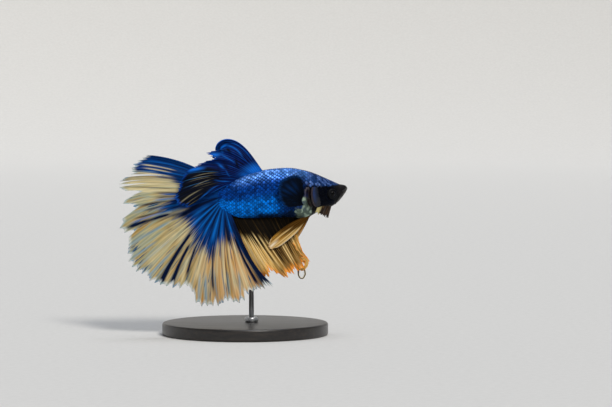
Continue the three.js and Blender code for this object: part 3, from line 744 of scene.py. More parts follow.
def membrane_material():
    """Gill membrane: a thin moist skin, pale straw between brown folds, which lets some
    light through."""
    material, add = new_material("moist_membrane")
    down, ray, side_edge = (add("Attribute", attribute_name=label)
                            for label in ("down", "ray", "side_edge"))
    place = add("CombineXYZ", {"X": ray, "Y": down})
    folds = add("Mapping", {"Vector": place, "Scale": (13, 1.2, 1)})
    noise = add("TexNoise", {"Vector": folds, "Scale": 1.0, "Detail": 3.0})
    brown = add("ValToRGB", {"Fac": noise}, stops=[
        (0.34, "#0c0704"), (0.5, "#2a1a0c"), (0.66, "#5c4426"),
    ])
    straw = add("ValToRGB", {"Fac": noise}, stops=[
        (0.3, "#6a5c38"), (0.45, "#c4b87c"), (0.7, "#dcd29c"),
    ])
    rear = add("MapRange", {"Value": side_edge, "From Min": 0.8, "From Max": 0.9})
    tint = add("MixRGB", {"Fac": rear, "Color1": brown, "Color2": straw})
    bump = add("Bump", {"Height": noise, "Strength": 0.4, "Distance": 0.08 * MM})
    shader = add("BsdfPrincipled", {
        "Base Color": tint, "Roughness": 0.42, "Normal": bump, "Specular IOR Level": 0.2,
    })
    through = add("BsdfTranslucent", {"Color": tint})
    both = add("MixShader", {0: 0.2, 1: shader, 2: through})
    add("OutputMaterial", {"Surface": both})
    return material


# ---------------------------------------------------------------- fins

ROOT_DEPTH = 1.3
RAY_SAMPLES = 120
MEMBRANE_THICK, ROOT_EXTRA, RAY_EXTRA = 0.1, 0.16, 0.13

# Key rays of each fin: x, z, leaving and arriving heading in degrees, length, hook, lean.
DORSAL = {
    "rays": np.array([
        (5.5, 53.6, 124, 293, 22.6, 3.0, 0.03),
        (4.2, 53.3, 125, 195, 14.2, 2.2, 0.0),
        (2.6, 52.8, 136, 180, 16.2, 1.1, -0.05),
        (1.0, 52.3, 142, 186, 14.7, 1.0, -0.12),
        (-0.3, 51.9, 155, 184, 17.4, 1.0, -0.17),
        (-1.6, 51.2, 161, 195, 18.5, 1.0, -0.22),
        (-2.6, 50.7, 173, 202, 18.6, 1.0, -0.25),
        (-3.5, 50.1, 187, 209, 19.4, 1.0, -0.26),
        (-4.3, 49.4, 203, 213, 15.9, 1.0, -0.28),
    ]),
    "root_shift": -0.6, "pleats": 3, "pleat_depth": 0.5,
    "notches": [(0.7, 0.28, -0.22), (2.5, 0.3, 0.14), (4.0, 0.3, 0.12)],
    "fin_rays": 22, "columns": 16, "steps": 84, "tips": 1.6, "teeth": 2, "fleshy": 0.2, "ruffle": 0.3,
    "seed": 11,
}
CAUDAL = {
    "rays": np.array([
        (-6.6, 48.3, 139, 176, 27.0, 1.0, 0.05),
        (-7.3, 47.6, 156, 185, 31.0, 1.0, 0.04),
        (-7.7, 46.5, 166, 191, 33.0, 1.0, 0.02),
        (-7.9, 45.3, 184, 214, 33.5, 1.0, -0.02),
        (-7.9, 44.1, 212, 225, 34.5, 1.0, -0.06),
        (-7.8, 43.0, 233, 237, 31.7, 1.0, -0.1),
        (-7.4, 42.0, 251, 262, 31.8, 1.0, -0.12),
        (-6.8, 41.2, 268, 281, 30.5, 1.0, -0.13),
        (-6.0, 40.6, 288, 297, 27.6, 1.0, -0.13),
        (-4.9, 40.0, 293, 323, 26.4, 3.0, -0.12),
    ]),
    "root_shift": 0.0, "pleats": 6, "pleat_depth": 0.7,
    "notches": [
        (1.18, 0.06, 0.32), (1.62, 0.03, 0.24), (1.86, 0.03, 0.22), (2.2, 0.12, 0.17),
        (2.6, 0.15, 0.17), (3.2, 0.07, 0.08), (5.65, 0.28, 0.1), (6.9, 0.16, 0.06),
    ],
    "fin_rays": 27, "columns": 20, "steps": 80, "tips": 2.6, "teeth": 2, "fleshy": 0.5, "ruffle": 0.45,
    "seed": 21,
}
ANAL = {
    "rays": np.array([
        (-4.9, 39.9, 281, 297, 20.9, 1.0, 0.02),
        (-3.2, 39.0, 299, 298, 22.4, 1.0, -0.05),
        (-1.5, 38.8, 301, 305, 23.2, 1.0, -0.06),
        (3.0, 38.6, 301, 306, 22.0, 1.0, -0.04),
        (8.2, 38.7, 296, 302, 20.2, 1.0, 0.0),
        (13.0, 38.7, 286, 305, 17.5, 1.0, 0.05),
        (18.9, 38.4, 238, 312, 14.4, 1.0, 0.08),
    ]),
    "root_shift": 0.4, "pleats": 4, "pleat_depth": 0.55,
    "notches": [(1.5, 0.3, 0.07), (3.4, 0.25, 0.09)],
    "fin_rays": 20, "columns": 16, "steps": 72, "tips": 2.5, "teeth": 1, "fleshy": 0.1, "ruffle": 0.4,
    "seed": 31,
}
PELVIC_RIGHT = {
    "rays": np.array([
        (19.5, 38.3, 197, 228, 13.4, 1.0, -0.26),
        (20.0, 37.9, 217, 219, 15.6, 1.0, -0.26),
        (20.5, 37.7, 234, 212, 13.4, 1.0, -0.26),
    ]),
    "root_shift": -1.1, "pleats": 1, "pleat_depth": 0.25, "notches": [], "fin_rays": 6, "columns": 12,
    "steps": 64, "tips": 0.7, "teeth": 2, "fleshy": 0.2, "ruffle": 0.1, "seed": 51,
}
PELVIC_LEFT = {
    **PELVIC_RIGHT,
    "rays": np.array([
        (19.7, 38.2, 212, 246, 11.5, 1.0, 0.2),
        (20.2, 37.9, 232, 240, 13.5, 1.0, 0.2),
        (20.7, 37.7, 246, 232, 11.5, 1.0, 0.2),
    ]),
    "root_shift": 1.1,
}
PECTORAL = {
    "rays": np.array([
        (19.5, 44.7, 100, 104, 7.0, 1.0, 0.42),
        (19.4, 44.1, 120, 128, 9.2, 1.0, 0.42),
        (19.3, 43.5, 140, 148, 9.8, 1.0, 0.42),
        (19.3, 42.9, 164, 160, 8.6, 1.0, 0.42),
        (19.4, 42.3, 190, 180, 6.3, 1.0, 0.42),
    ]),
    "root_shift": 3.3, "pleats": 2, "pleat_depth": 0.2, "notches": [], "fin_rays": 12, "columns": 12,
    "steps": 48, "tips": 0.6, "teeth": 2, "fleshy": 0.1, "ruffle": 0.12, "seed": 61,
}


def saw(phase):
    """0 on whole numbers, 1 midway between them."""
    return np.abs(phase - np.round(phase)) * 2


def branch_ridges(phase, share):
    """How near a point is to a bony ray, 1 on it. Each ray forks twice on its way out."""
    first_fork = 0.25 * smooth(share, 0.22, 0.5)
    second_fork = 0.125 * smooth(share, 0.55, 0.85)
    offset = phase - np.round(phase)
    width = 0.13 - 0.07 * smooth(share, 0.1, 0.8)
    nearest = np.full_like(phase, 9.0)
    for one in (-1, 1):
        for two in (-1, 1):
            nearest = np.minimum(nearest, np.abs(offset - one * first_fork - two * second_fork))
    return hill(nearest, width)


def random_curve(count, low, high, seed):
    """A smooth random value along the rays, from one random number for each whole step."""
    values = np.random.default_rng(seed).uniform(low, high, count + 3)
    return lambda phase: cubic(values[:, None], np.clip(phase, 0, count + 2))[..., 0]


def fin_grid(fin, side=0):
    """Centre points of a fin, and each point's values, on a grid of columns and steps."""
    rays = fin["rays"]
    last = len(rays) - 1
    fin_rays = fin["fin_rays"]
    count = fin_rays * fin["columns"]
    row = np.linspace(0, last, count + 1)
    phase = row / last * fin_rays
    root_x, root_z, leave, arrive, length, hook, lean = cubic(rays, row).T
    leave, arrive = np.radians(leave), np.radians(arrive)
    margin = np.ones_like(row)
    for place, width, depth in fin["notches"]:
        margin = margin - depth * hill(row - place, width)
    seed = fin["seed"]
    uneven = random_curve(fin_rays, -1, 1, seed)(phase)
    fine = random_curve(4 * fin_rays, -1, 1, seed + 1)(4 * phase)
    cleft = 0.5 + 0.35 * random_curve(2 * fin_rays, -1, 1, seed + 4)(2 * phase)
    comb = 0.25 + 0.35 * uneven + 0.2 * fine
    comb = comb - cleft * saw(fin["teeth"] * phase + 0.5) ** 1.3 - 0.14 * saw(4 * phase)
    reach = length * margin + fin["tips"] * comb
    sample = np.arange(RAY_SAMPLES + 1) / RAY_SAMPLES
    middle = (np.arange(RAY_SAMPLES) + 0.5) / RAY_SAMPLES
    heading = leave[:, None] + (arrive - leave)[:, None] * middle[None] ** hook[:, None]
    pace = (length / RAY_SAMPLES)[:, None]
    nothing = np.zeros((count + 1, 1))
    path_x = np.hstack([nothing, np.cumsum(np.cos(heading) * pace, axis=1)])
    path_z = np.hstack([nothing, np.cumsum(np.sin(heading) * pace, axis=1)])
    steps = fin["steps"]
    walked = np.linspace(0, 1, steps + 1)[None] * (reach + ROOT_DEPTH)[:, None] - ROOT_DEPTH
    inside = np.minimum(walked, 0)
    out = np.maximum(walked, 0)
    part = out / length[:, None]
    beyond = np.maximum(out - length[:, None], 0)
    x = root_x[:, None] + inside * np.cos(leave)[:, None] + beyond * np.cos(arrive)[:, None]
    z = root_z[:, None] + inside * np.sin(leave)[:, None] + beyond * np.sin(arrive)[:, None]
    for i in range(count + 1):
        x[i] += np.interp(part[i], sample, path_x[i])
        z[i] += np.interp(part[i], sample, path_z[i])
    pleat = fin["pleat_depth"] * part ** 1.5 * np.sin(2 * math.pi * fin["pleats"] * row / last)[:, None]
    sway = random_curve(fin_rays, -1, 1, seed + 2)(phase)[:, None]
    folds = random_curve(2 * fin_rays, -1, 1, seed + 3)(2 * phase)[:, None]
    ruffle = fin["ruffle"] * part ** 1.4 * (0.9 * sway + 0.5 * folds)
    ruffle = ruffle + 0.3 * fin["ruffle"] * part ** 3 * np.sin(math.pi * phase[:, None] + 5 * part)
    if side:
        y = spine_y(x) + side * (fin["root_shift"] + lean[:, None] * out) + pleat + ruffle
    else:
        y = spine_y(root_x)[:, None] + fin["root_shift"] + lean[:, None] * out + pleat + ruffle
    shape = np.ones_like(out)
    between = saw(phase[:, None] + 0.08 * np.sin(0.5 * out + 3 * sway))
    values = {
        "row": row[:, None] * shape, "ray": phase[:, None] * shape, "out": out,
        "edge": reach[:, None] - out, "ridge": branch_ridges(phase[:, None] * shape, part),
        # Darker midway between the key rays and more so where the fin folds: partly pigment, partly
        # painted shade of the pleats.
        "gap": smooth(between, 0.5, 1.0) * (0.55 + 0.45 * folds),
    }
    return np.stack([x, y, z], -1), values


# Paint of each fin along its rays. Reach is how far the root tints run out along the key
# rays and warmth how much of the second outer tint they take: a warm orange on the tail and
# pelvic fins, and a dark brown painted shade over the front of the anal fin. A streak runs
# from one key ray place to another, with its width, start and end along the ray in mm, and
# strength.
TAIL_PAINT = {
    "reach": [44, 27, 13.5, 18, 13, 14.5, 16.5, 11, 14, 44],
    "warmth_and_shade": [0.8, 0.5, 0.0, 0.1, 0.1, 0.3, 0.6, 0.9, 1.0, 1.0],
    "dark": [
        (0.16, 0.12, 0.05, 4, 27, 0.9), (0.36, 0.3, 0.05, 5, 27, 0.8), (0.58, 0.5, 0.04, 8, 26, 0.8),
        (0.8, 0.7, 0.03, 12, 26, 0.9), (1.12, 0.96, 0.035, 12, 22, 0.9),
        (1.62, 1.45, 0.02, 17, 30, 0.5), (1.95, 1.72, 0.02, 17, 30, 0.5),
        (2.2, 1.98, 0.025, 16, 30, 0.7), (2.45, 2.32, 0.05, 13, 22, 1.0),
        (2.63, 2.5, 0.04, 13, 22, 0.9), (2.8, 2.62, 0.04, 14, 27, 1.1), (2.96, 2.8, 0.04, 14, 26, 1.0),
        (3.12, 2.88, 0.03, 18, 30, 1.0), (3.3, 3.0, 0.06, 17, 33, 1.4), (3.45, 3.33, 0.03, 13, 23, 0.8),
        (3.76, 3.7, 0.015, 13, 21, 0.8), (3.92, 3.88, 0.015, 13, 21, 0.8),
        (4.3, 4.3, 0.015, 14, 22, 0.7), (4.6, 4.92, 0.075, 14, 34, 2.2),
        (4.95, 5.22, 0.06, 17, 33, 2.1), (5.28, 5.47, 0.05, 16, 26, 1.6),
        (5.62, 5.72, 0.02, 14, 23, 0.7), (6.26, 6.44, 0.05, 13, 28, 1.4),
        (6.76, 6.86, 0.015, 12, 27, 0.8), (7.02, 6.98, 0.02, 10, 28, 1.0),
        (7.16, 7.12, 0.015, 13, 28, 0.7), (7.5, 7.36, 0.015, 12, 26, 0.8),
        (7.84, 8.08, 0.08, 9, 26, 2.2), (8.62, 8.68, 0.36, 4, 42, 2.4), (3.35, 3.62, 0.16, 0, 15, 1.5),
        (4.02, 4.1, 0.09, 1, 9, 1.2), (4.55, 4.5, 0.1, 1, 10, 1.3), (5.02, 5.08, 0.07, 2, 11, 1.2),
        (5.6, 5.66, 0.09, 1, 10, 1.2), (6.4, 6.45, 0.08, 2, 11, 1.2), (7.25, 7.35, 0.18, 2, 12, 1.4),
        (7.95, 8.1, 0.12, 2, 11, 1.2),
    ],
    "bright": [
        (0.1, 0.1, 0.04, 3, 24, 0.6), (0.46, 0.42, 0.04, 13, 28, 0.6), (0.68, 0.62, 0.03, 12, 25, 0.5),
        (1.0, 0.9, 0.04, 8, 21, 0.6), (2.54, 2.4, 0.05, 12, 20, 0.9), (2.74, 2.58, 0.04, 12, 22, 0.7),
        (3.04, 2.9, 0.05, 12, 22, 0.8), (3.18, 2.96, 0.03, 15, 31, 0.9), (4.28, 4.3, 0.12, 0, 13, 1.1),
        (4.8, 4.85, 0.1, 0, 12, 1.1), (5.3, 5.36, 0.1, 0, 12, 1.0), (6.02, 6.06, 0.14, 0, 12, 1.1),
        (6.75, 6.8, 0.14, 0, 11, 0.9), (7.65, 7.75, 0.12, 0, 9, 0.9), (5.0, 5.0, 2.4, -2, 2, 0.5),
        (3.8, 3.9, 0.14, 4, 11, 0.6), (5.9, 6.0, 0.18, 3, 11, 0.6), (8.42, 8.45, 0.05, 6, 28, 1.4),
    ],
    "pale": [
        (0.72, 0.6, 0.03, 17, 28, 1.2), (0.88, 0.76, 0.03, 18, 27, 1.1),
        (1.2, 0.96, 0.045, 17, 31, 1.3), (1.32, 1.16, 0.02, 16, 24, 0.9),
        (1.66, 1.45, 0.18, 16, 32, 1.3), (2.02, 1.78, 0.14, 14, 32, 1.3),
        (2.36, 2.06, 0.1, 13, 32, 1.3), (2.54, 2.42, 0.03, 19, 32, 0.9),
        (3.42, 3.23, 0.06, 11, 21, 0.9), (3.85, 3.85, 0.3, 14, 19, 0.5),
        (4.35, 4.42, 0.22, 14, 20, 0.6), (4.05, 4.2, 0.18, 17, 32, 0.7),
        (4.78, 5.02, 0.04, 22, 32, 0.7), (5.2, 5.45, 0.05, 20, 30, 0.8),
        (5.65, 5.82, 0.12, 15, 26, 0.8), (6.52, 6.56, 0.08, 11, 23, 0.8),
        (6.88, 6.9, 0.06, 11, 25, 0.9), (7.26, 7.22, 0.06, 11, 27, 0.8),
        (7.62, 7.64, 0.08, 11, 27, 0.9), (8.2, 8.3, 0.035, 17, 23, 1.5),
    ],
    "ice": [
        (0.97, 0.92, 0.03, 22, 29, 0.9), (2.88, 2.74, 0.03, 18, 30, 0.8),
        (3.28, 3.14, 0.04, 13, 23, 0.8), (3.56, 3.44, 0.04, 18, 35, 1.0),
        (3.84, 3.74, 0.03, 25, 36, 1.0), (4.12, 4.02, 0.035, 21, 36, 0.9),
        (4.5, 4.46, 0.04, 24, 35, 1.0), (4.72, 4.68, 0.03, 24, 33, 0.9),
        (5.86, 6.02, 0.04, 23, 33, 1.1), (6.1, 6.22, 0.04, 23, 32, 1.1),
        (6.42, 6.6, 0.035, 20, 30, 0.9), (6.8, 6.9, 0.025, 20, 30, 1.1), (7.0, 6.95, 0.02, 20, 31, 0.9),
        (7.48, 7.32, 0.03, 21, 29, 1.0),
    ],
}
# The dark streaks inside the front curl and over the cupped rear lobe are partly pigment and partly
# painted shade of those hollows; the bright streaks on the curl are partly painted highlights.
DORSAL_PAINT = {
    "reach": [40, 40, 40, 30, 14, 7, 6, 6, 9],
    "warmth_and_shade": [0, 0, 0, 0, 0, 0, 0, 0, 0],
    "dark": [
        (0.17, 0.16, 0.045, 3, 18, 1.5), (0.95, 0.12, 0.12, 15.5, 20, 1.4),
        (1.6, 0.95, 0.12, 10, 15, 1.5), (1.5, 1.5, 0.18, 12.5, 16, 1.8),
        (0.34, 0.34, 0.06, 14, 18, 1.4), (1.15, 1.0, 0.1, 4, 9, 0.9), (3.0, 1.7, 0.2, 3.6, 8, 1.5),
        (3.95, 2.9, 0.2, 5.5, 9, 1.3), (2.5, 2.9, 0.1, 8, 13, 0.9), (3.5, 3.6, 0.08, 9, 15, 0.9),
        (5.0, 4.0, 0.18, 6.5, 9, 1.4), (4.62, 4.36, 0.12, 6, 12, 1.2), (6.3, 5.4, 0.2, 4.5, 9, 1.5),
        (6.0, 6.0, 0.08, 3, 17, 0.9), (6.85, 6.9, 0.16, 5, 17, 1.0), (7.5, 7.55, 0.1, 4, 14, 0.8),
    ],
    "bright": [
        (0.04, 0.04, 0.05, 2, 24, 1.8), (1.1, 0.2, 0.12, 17.6, 22, 1.1),
        (1.75, 0.1, 0.1, 12.3, 20, 1.0), (1.3, 0.55, 0.09, 7, 15, 0.9), (0.62, 0.4, 0.06, 5, 14, 0.8),
        (1.4, 1.4, 1.5, -3, 3.4, 1.5), (3.6, 3.6, 1.0, -3, 2.2, 1.0),
        (0.62, 0.62, 0.13, 14.6, 17.5, 2.2), (2.05, 2.35, 0.2, 12.5, 17.5, 1.7),
        (2.4, 1.9, 0.08, 6, 13, 0.7), (4.0, 3.1, 0.16, 7, 11, 1.0), (4.35, 4.6, 0.24, 13, 19, 1.2),
        (5.2, 4.2, 0.12, 3.5, 6, 0.9), (5.9, 6.0, 0.05, 0, 7, 0.8), (6.9, 6.2, 0.1, 1.5, 7, 1.0),
        (7.3, 7.95, 0.1, 6, 12, 1.0), (7.7, 8.0, 0.08, 1, 8, 0.8),
    ],
    "pale": [
        (4.95, 5.35, 0.045, 8, 15, 1.0), (5.36, 5.62, 0.035, 8, 15, 0.8),
        (5.66, 5.78, 0.03, 9, 16, 0.7), (5.95, 6.5, 0.045, 8, 14, 1.0), (6.42, 6.5, 0.03, 8, 14, 0.8),
        (6.75, 6.8, 0.025, 6, 12, 0.7), (7.02, 7.32, 0.045, 11, 19, 1.1),
        (7.45, 7.6, 0.03, 11, 17, 0.6), (7.8, 7.9, 0.03, 12, 17, 0.6),
    ],
    "ice": [
        (0.02, 0.02, 0.03, 4, 18, 1.3), (1.05, 0.85, 0.08, 17.5, 19, 0.6),
        (2.2, 2.25, 0.1, 13.5, 17.5, 1.3), (5.5, 5.55, 0.03, 10, 18, 0.7),
        (6.2, 6.25, 0.03, 9, 17, 0.5), (4.75, 4.85, 0.03, 8, 17, 0.6),
    ],
}
# A short reach keeps a near-black band at the root, partly dark pigment and partly painted shadow under
# the belly; the front rows take the second outer tint, a dark brown painted shade.
GOLD_PAINT = {
    "reach": [7.5, 9.5, 11.5, 11, 10, 8, 5],
    "warmth_and_shade": [0, 0, 0.1, 1.0, 1.0, 0.7, 0.3],
    "dark": [
        (0.42, 0.44, 0.02, 8, 18, 0.9), (0.9, 0.93, 0.02, 8, 18, 0.8), (1.28, 1.3, 0.02, 7, 18, 0.9),
        (1.6, 1.63, 0.025, 8, 18, 1.3), (1.92, 1.95, 0.025, 8, 18, 1.1), (2.3, 2.34, 0.045, 7, 19, 1.5),
        (2.62, 2.62, 0.03, 6, 18, 1.0), (2.98, 2.98, 0.12, 9, 19, 1.2), (3.4, 3.36, 0.09, 9, 19, 1.0),
        (4.25, 4.15, 0.07, 7, 15, 1.4), (5.3, 5.4, 0.06, 3, 13, 0.9),
    ],
    "bright": [
        (0.1, 0.12, 0.08, 7, 20, 1.2), (0.28, 0.3, 0.06, 8, 19, 0.9), (0.68, 0.7, 0.1, 8, 18, 1.3),
        (1.1, 1.13, 0.08, 8, 18, 1.2), (1.45, 1.48, 0.06, 8, 18, 1.2), (1.76, 1.8, 0.05, 8, 18, 1.1),
        (2.14, 2.18, 0.06, 7, 19, 1.3), (2.48, 2.48, 0.05, 8, 20, 1.1), (2.76, 2.76, 0.04, 9, 20, 0.9),
        (3.72, 3.68, 0.06, 9, 19, 1.1), (3.95, 3.9, 0.04, 8, 18, 0.9), (4.75, 4.8, 0.08, 5, 14, 0.9),
    ],
    "pale": [
        (0.75, 0.78, 0.04, 10, 19, 1.0), (1.13, 1.17, 0.035, 10, 19, 1.1),
        (1.48, 1.51, 0.03, 10, 19, 1.0), (1.8, 1.83, 0.02, 9, 18, 0.9), (2.15, 2.19, 0.025, 8, 19, 1.0),
    ],
    "ice": [],
}
RIBBON_PAINT = {
    "reach": [10.5, 8.0, 3.5],
    "warmth_and_shade": [0, 0, 0],
    "dark": [(0.5, 0.45, 0.12, 3, 11, 1.2), (1.1, 0.95, 0.06, 4, 13, 1.0)],
    "bright": [(0.75, 0.7, 0.08, 6, 15, 0.9), (1.35, 1.3, 0.1, 5, 16, 1.0), (1.7, 1.65, 0.15, 3, 16, 1.1)],
    "pale": [(1.95, 1.9, 0.12, 4, 17, 1.2), (0.95, 1.1, 0.2, 12, 18, 1.1)],
    "ice": [],
}
FAR_RIBBON_PAINT = {
    **RIBBON_PAINT,
    "reach": [2, 2, 2],
    "warmth_and_shade": [1, 1, 1],
    "dark": [(0.9, 0.85, 0.1, 4, 12, 0.8)],
    "pale": [],
}
VEIL_PAINT = {
    "reach": [3, 3, 3, 3, 3],
    "warmth_and_shade": [0, 0, 0, 0, 0],
    "dark": [],
    "bright": [
        (1.1, 1.1, 0.25, 4, 8, 0.6), (1.75, 1.75, 0.2, 4, 9, 1.0), (2.3, 2.3, 0.16, 5, 10, 0.8),
        (2.8, 2.8, 0.12, 6, 10, 0.5),
    ],
    "pale": [],
    "ice": [],
}
STREAK_KINDS = ("dark", "bright", "pale", "ice")


def streaks(row, out, marks):
    """The strongest of a fin's soft streaks at each place."""
    total = np.zeros_like(row)
    for leaving, arriving, width, start, end, strength in marks:
        along = smooth(out, start - 1.5, start + 2) * (1 - smooth(out, end - 3, end + 1))
        place = leaving + (arriving - leaving) * (out - start) / (end - start)
        total = np.maximum(total, strength * hill(row - place, width) * along)
    return total


def make_fin(name, fin, paint, side=0):
    """A fin as one closed sheet with raised forking rays and a ragged margin."""
    centre, values = fin_grid(fin, side)
    row, out = values.pop("row"), values["out"]
    part = np.clip(out / fin["rays"][:, 4].mean(), 0, 1)
    thickness = MEMBRANE_THICK + ROOT_EXTRA * (1 - part) + values["ridge"] * (RAY_EXTRA - 0.08 * part)
    thickness = thickness + fin["fleshy"] * (1 - smooth(out, 0.0, 5.0))
    thickness = thickness * (0.45 + 0.55 * smooth(values["edge"], 0, 0.8))
    values["base_tint"] = out - cubic(np.array(paint["reach"], float)[:, None], row)[..., 0]
    values["warmth_and_shade"] = np.interp(row, np.arange(len(paint["warmth_and_shade"])), paint["warmth_and_shade"])
    for kind in STREAK_KINDS:
        values[f"{kind}_streak"] = streaks(row, out, paint[kind])
    return sheet_solid(name, centre, thickness, values)


# Curled strips at the front of the anal fin: x, z, distance right of the fin, width and
# twist in degrees along each.
ANAL_STRIPS = {
    "anal_front_ribbon": np.array([
        (15.4, 34.6, 0.2, 0.9, 10),
        (15.9, 31.8, 0.6, 1.9, 25),
        (16.9, 28.9, 0.8, 1.8, -15),
        (18.0, 27.0, 0.6, 1.5, 30),
        (19.3, 25.4, 0.4, 0.7, 0),
    ]),
    "anal_front_curl": np.array([
        (16.4, 27.4, 0.5, 1.0, 0),
        (15.9, 24.8, 0.8, 1.5, 20),
        (16.7, 22.4, 1.1, 1.6, 40),
        (18.3, 21.2, 1.3, 1.5, 50),
        (19.8, 22.2, 1.2, 1.4, 40),
        (20.0, 24.0, 0.9, 1.3, 20),
        (18.7, 24.6, 0.5, 1.2, 0),
        (18.0, 23.4, 0.2, 1.0, 0),
    ]),
    "anal_front_loop": np.array([
        (17.7, 22.0, 0.7, 0.5, 0),
        (17.3, 20.2, 0.9, 0.6, 20),
        (17.7, 18.5, 1.0, 0.6, 40),
        (18.7, 18.2, 0.9, 0.6, 40),
        (19.5, 19.4, 0.7, 0.6, 20),
        (19.3, 20.8, 0.5, 0.5, 0),
        (18.5, 21.4, 0.4, 0.4, 0),
    ]),
}
STRIP_ROOT_X = 16.0
STRIP_SHIFT = 0.9
STRIP_THICK = 0.16
STRIP_STEPS, STRIP_COLUMNS = 30, 25
STRIP_SHADE = {"anal_front_ribbon": 3.0, "anal_front_curl": 5.0, "anal_front_loop": -4.0}


def make_strip(name):
    """A curled strip of fin swept along its path, with a wavy edge."""
    rows = ANAL_STRIPS[name]
    along, across = np.meshgrid(np.linspace(0, len(rows) - 1, STRIP_STEPS * len(rows)),
                                np.linspace(-0.5, 0.5, STRIP_COLUMNS), indexing="ij")
    x, z, right, width, twist = np.moveaxis(cubic(rows, along), -1, 0)
    heading = np.arctan2(np.gradient(z, axis=0), np.gradient(x, axis=0))
    leaning = 0.3 * np.sin(3.1 * along + 1) * across
    frayed = 0.09 * np.sin(7.3 * along) * np.sign(across)
    wavy = width * (1 + leaning + frayed)
    flat = across * wavy * np.cos(np.radians(twist))
    deep = across * wavy * np.sin(np.radians(twist)) + 0.6 * width * across ** 2
    y = spine_y(np.full_like(x, STRIP_ROOT_X)) + STRIP_SHIFT - right - deep
    centre = np.stack([x - np.sin(heading) * flat, y, z + np.cos(heading) * flat], -1)
    values = {
        "ray": 3 * across + 0.5, "out": along * 3, "edge": (0.5 - np.abs(across)) * width * 8,
        "ridge": hill(saw(4 * across), 0.4), "gap": 0.8 * smooth(saw(2 * across + 0.5), 0.5, 1),
        "base_tint": np.full_like(x, STRIP_SHADE[name]), "warmth_and_shade": 0.5 * hill(across, 0.15),
    }
    for kind in STREAK_KINDS:
        values[f"{kind}_streak"] = np.zeros_like(x)
    if name == "anal_front_loop":
        values["pale_streak"] = smooth(np.abs(across), 0.2, 0.45)
        values["edge"] = values["edge"] + 9
    return sheet_solid(name, centre, np.full_like(x, STRIP_THICK), values)


FIN_VALUES = ["ray", "out", "edge", "ridge", "gap", "base_tint", "warmth_and_shade"]
FIN_VALUES += [f"{kind}_streak" for kind in STREAK_KINDS]

# Noise drawn out along the rays: how many waves to a ray and to a mm, and the span of the
# noise that is stretched to run from 0 to 1.
FIN_STREAKS = {
    "fine": (3.7, 0.08, 0.28, 0.72), "broad": (1.3, 0.05, 0.3, 0.7), "soft": (3.1, 0.08, -0.5, 0.8),
    "stray": (6.1, 0.11, 0.0, 1.0), "joints": (8.0, 2.2, 0.0, 1.0),
}

# Which noise each of a palette's tints runs along.
TINT_NOISE = {"inner": "fine", "inner_ray": "broad", "outer": "broad", "outer_warm_and_shade": "broad",
              "outer_ray": "fine", "tip": "fine"}


